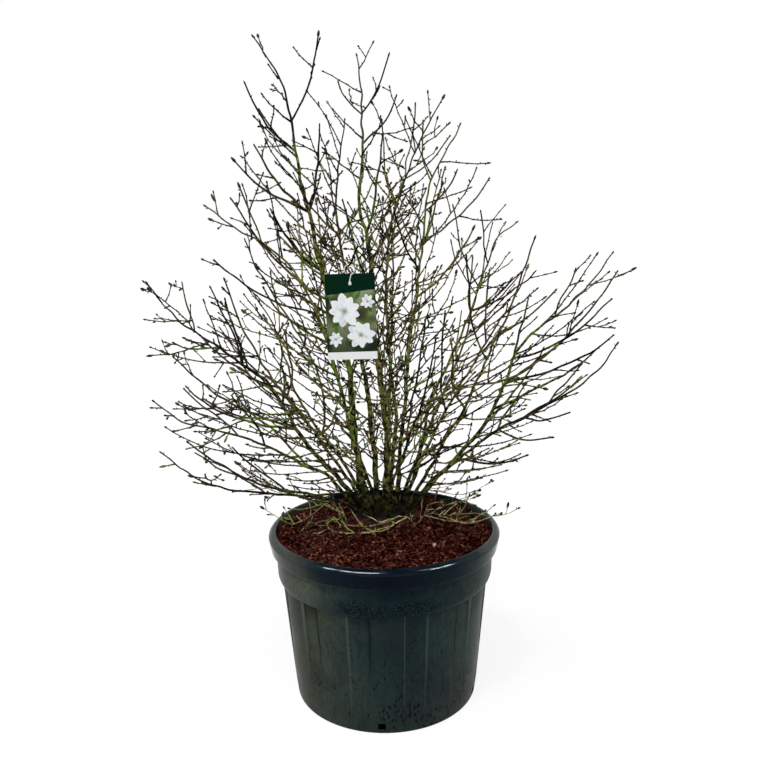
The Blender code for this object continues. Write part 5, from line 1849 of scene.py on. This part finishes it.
class MagnoliaLabelSettings(bpy.types.PropertyGroup):
    """Print and strap of the hanging label."""

    header_colour: colour_property("Head", "Band at the top", (0.0008, 0.0185, 0.0085))
    paper_colour: colour_property("Paper", "Bare card", (0.97, 0.98, 0.97))
    petal_colour: colour_property("Petals", "Printed petals", (0.94, 0.97, 0.98))
    leaf_colour: colour_property("Leaves", "Printed leaves", (0.030, 0.070, 0.020))
    picture_dark: colour_property("Shade", "Dark ground", (0.012, 0.024, 0.015))
    picture_green: colour_property("Green", "Middle ground", (0.090, 0.150, 0.042))
    picture_pale: colour_property("Light", "Pale ground", (0.330, 0.370, 0.210))
    strap_colour: colour_property("Strap", "Strap plastic", (0.80, 0.82, 0.80))
    header_share: number_property(
        "Head", "Share of the card's height", 0.215, min=0.0, max=0.5, subtype="FACTOR")
    footer_share: number_property(
        "Foot", "Share of the card's height", 0.09, min=0.0, max=0.5, subtype="FACTOR")


class MagnoliaStageSettings(bpy.types.PropertyGroup):
    """Camera, lamps and floor."""

    camera_distance: number_property(
        "Distance", "In front of the axis", 1.60, min=0.5, unit="LENGTH")
    camera_height: number_property("Height", "Above the floor", 0.975, unit="LENGTH")
    camera_side: number_property("Side", "Right of the axis", 0.005, unit="LENGTH")
    pitch: number_property(
        "Pitch", "Looking down", math.radians(10.3), subtype="ANGLE", unit="ROTATION")
    roll: number_property(
        "Roll", "About the line of sight", math.radians(-0.95), subtype="ANGLE", unit="ROTATION")
    lens: number_property("Lens", "Focal length in mm", 35.9, min=10.0, unit="CAMERA")
    ambient_strength: number_property("Ambient", "Light from all round", 0.30, min=0.0)
    key_strength: number_property("Key", "Lamp from the upper left", 1.70, min=0.0)
    fill_strength: number_property("Fill", "Lamp from the upper right", 0.80, min=0.0)
    front_strength: number_property("Front", "Low lamp from the front", 1.25, min=0.0)
    gloss_strength: number_property("Gloss", "Lamps for highlights alone", 3.8, min=0.0)
    floor_reach: number_property("Floor", "Reach from the axis", 30.0, min=1.0, unit="LENGTH")
    floor_colour: colour_property("Floor", "Matt floor", (0.24, 0.24, 0.24))
    floor_glow: number_property("Floor glow", "Added for the eye only", 0.80, min=0.0)


class MAGNOLIA_OT_make_container(bpy.types.Operator):
    """Build the fluted container with its rolled lip and drain notches"""

    bl_idname = "magnolia.make_container"
    bl_label = "Container"

    def execute(self, context):
        make_container_piece(context.scene.magnolia_container)
        return {"FINISHED"}


class MAGNOLIA_OT_make_soil(bpy.types.Operator):
    """Build the soil with its chips, fibres and grains"""

    bl_idname = "magnolia.make_soil"
    bl_label = "Soil"

    def execute(self, context):
        for make in (make_soil_piece, make_chips_piece, make_fibres_piece, make_grains_piece):
            make(context.scene.magnolia_soil)
        return {"FINISHED"}


class MAGNOLIA_OT_make_crown(bpy.types.Operator):
    """Build the knobbly root crown that the stems rise from"""

    bl_idname = "magnolia.make_crown"
    bl_label = "Root crown"

    def execute(self, context):
        make_crown_piece(context.scene.magnolia_soil)
        return {"FINISHED"}


class MAGNOLIA_OT_make_stems(bpy.types.Operator):
    """Build every stem with its limbs, twigs, spurs and buds"""

    bl_idname = "magnolia.make_stems"
    bl_label = "Stems"

    def execute(self, context):
        settings = context.scene.magnolia_wood
        make_shoots(STEMS, "bark", [wood_finish(settings), bud_finish(settings)])
        return {"FINISHED"}


class MAGNOLIA_OT_make_low_shoots(bpy.types.Operator):
    """Build the pale shoots that lie low over the soil"""

    bl_idname = "magnolia.make_low_shoots"
    bl_label = "Low shoots"

    def execute(self, context):
        settings = context.scene.magnolia_wood
        make_shoots(LOW_SHOOTS, "young_bark", [young_wood_finish(settings), bud_finish(settings)])
        return {"FINISHED"}


class MAGNOLIA_OT_make_label(bpy.types.Operator):
    """Build the hanging label with its printed blossoms"""

    bl_idname = "magnolia.make_label"
    bl_label = "Label"

    def execute(self, context):
        make_card_piece(context.scene.magnolia_label)
        make_picture_piece(context.scene.magnolia_label)
        return {"FINISHED"}


class MAGNOLIA_OT_make_strap(bpy.types.Operator):
    """Build the strap and its tab, which hold the label on its twig"""

    bl_idname = "magnolia.make_strap"
    bl_label = "Strap"

    def execute(self, context):
        make_strap_piece(context.scene.magnolia_label)
        return {"FINISHED"}


class MAGNOLIA_OT_make_stage(bpy.types.Operator):
    """Build the pale floor, the soft lamps, the world and the camera"""

    bl_idname = "magnolia.make_stage"
    bl_label = "Stage"

    def execute(self, context):
        settings = context.scene.magnolia_stage
        make_world(settings)
        make_floor(settings)
        make_sun("key", settings.key_strength / 2, -70, 55, 9)
        make_sun("key_inner", settings.key_strength / 2, -30, 62, 9)
        make_sun("fill", settings.fill_strength, 58, 58, 12)
        make_sun("front", settings.front_strength, 4, 16, 60)
        for azimuth, elevation in GLOSS_LAMPS:
            make_sun(f"gloss_{azimuth}", settings.gloss_strength, azimuth, elevation, 9, True)
        make_camera(settings)
        context.scene.view_settings.view_transform = "Standard"
        return {"FINISHED"}


class MAGNOLIA_PT_panel(bpy.types.Panel):
    """Sizes, colours and commands of the potted magnolia"""

    bl_idname = "MAGNOLIA_PT_panel"
    bl_label = "Potted Star Magnolia"
    bl_space_type = "VIEW_3D"
    bl_region_type = "UI"
    bl_category = "Magnolia"

    def draw(self, context):
        for name, group, title, commands in SECTIONS:
            box = self.layout.box()
            box.label(text=title)
            for setting in group.__annotations__:
                box.prop(getattr(context.scene, name), setting)
            for command in commands:
                box.operator(command)


# Scene property, its settings, title, and the commands that use it.
SECTIONS = (
    ("magnolia_container", MagnoliaContainerSettings, "Container", ("magnolia.make_container",)),
    ("magnolia_soil", MagnoliaSoilSettings, "Soil and crown",
     ("magnolia.make_soil", "magnolia.make_crown")),
    ("magnolia_wood", MagnoliaWoodSettings, "Wood",
     ("magnolia.make_stems", "magnolia.make_low_shoots")),
    ("magnolia_label", MagnoliaLabelSettings, "Label",
     ("magnolia.make_label", "magnolia.make_strap")),
    ("magnolia_stage", MagnoliaStageSettings, "Stage", ("magnolia.make_stage",)),
)
CLASSES = (
    *(group for _, group, _, _ in SECTIONS),
    MAGNOLIA_OT_make_container, MAGNOLIA_OT_make_soil, MAGNOLIA_OT_make_crown,
    MAGNOLIA_OT_make_stems, MAGNOLIA_OT_make_low_shoots, MAGNOLIA_OT_make_label,
    MAGNOLIA_OT_make_strap, MAGNOLIA_OT_make_stage, MAGNOLIA_PT_panel,
)


def register():
    for cls in CLASSES:
        bpy.utils.register_class(cls)
    for name, group, _, _ in SECTIONS:
        setattr(bpy.types.Scene, name, bpy.props.PointerProperty(type=group))


def unregister():
    for name, *_ in SECTIONS:
        delattr(bpy.types.Scene, name)
    for cls in reversed(CLASSES):
        bpy.utils.unregister_class(cls)


def main():
    register()
    bpy.ops.magnolia.make_container()
    bpy.ops.magnolia.make_soil()
    bpy.ops.magnolia.make_crown()
    bpy.ops.magnolia.make_stems()
    bpy.ops.magnolia.make_low_shoots()
    bpy.ops.magnolia.make_label()
    bpy.ops.magnolia.make_strap()
    bpy.ops.magnolia.make_stage()
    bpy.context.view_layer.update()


if __name__ == "__main__":
    main()
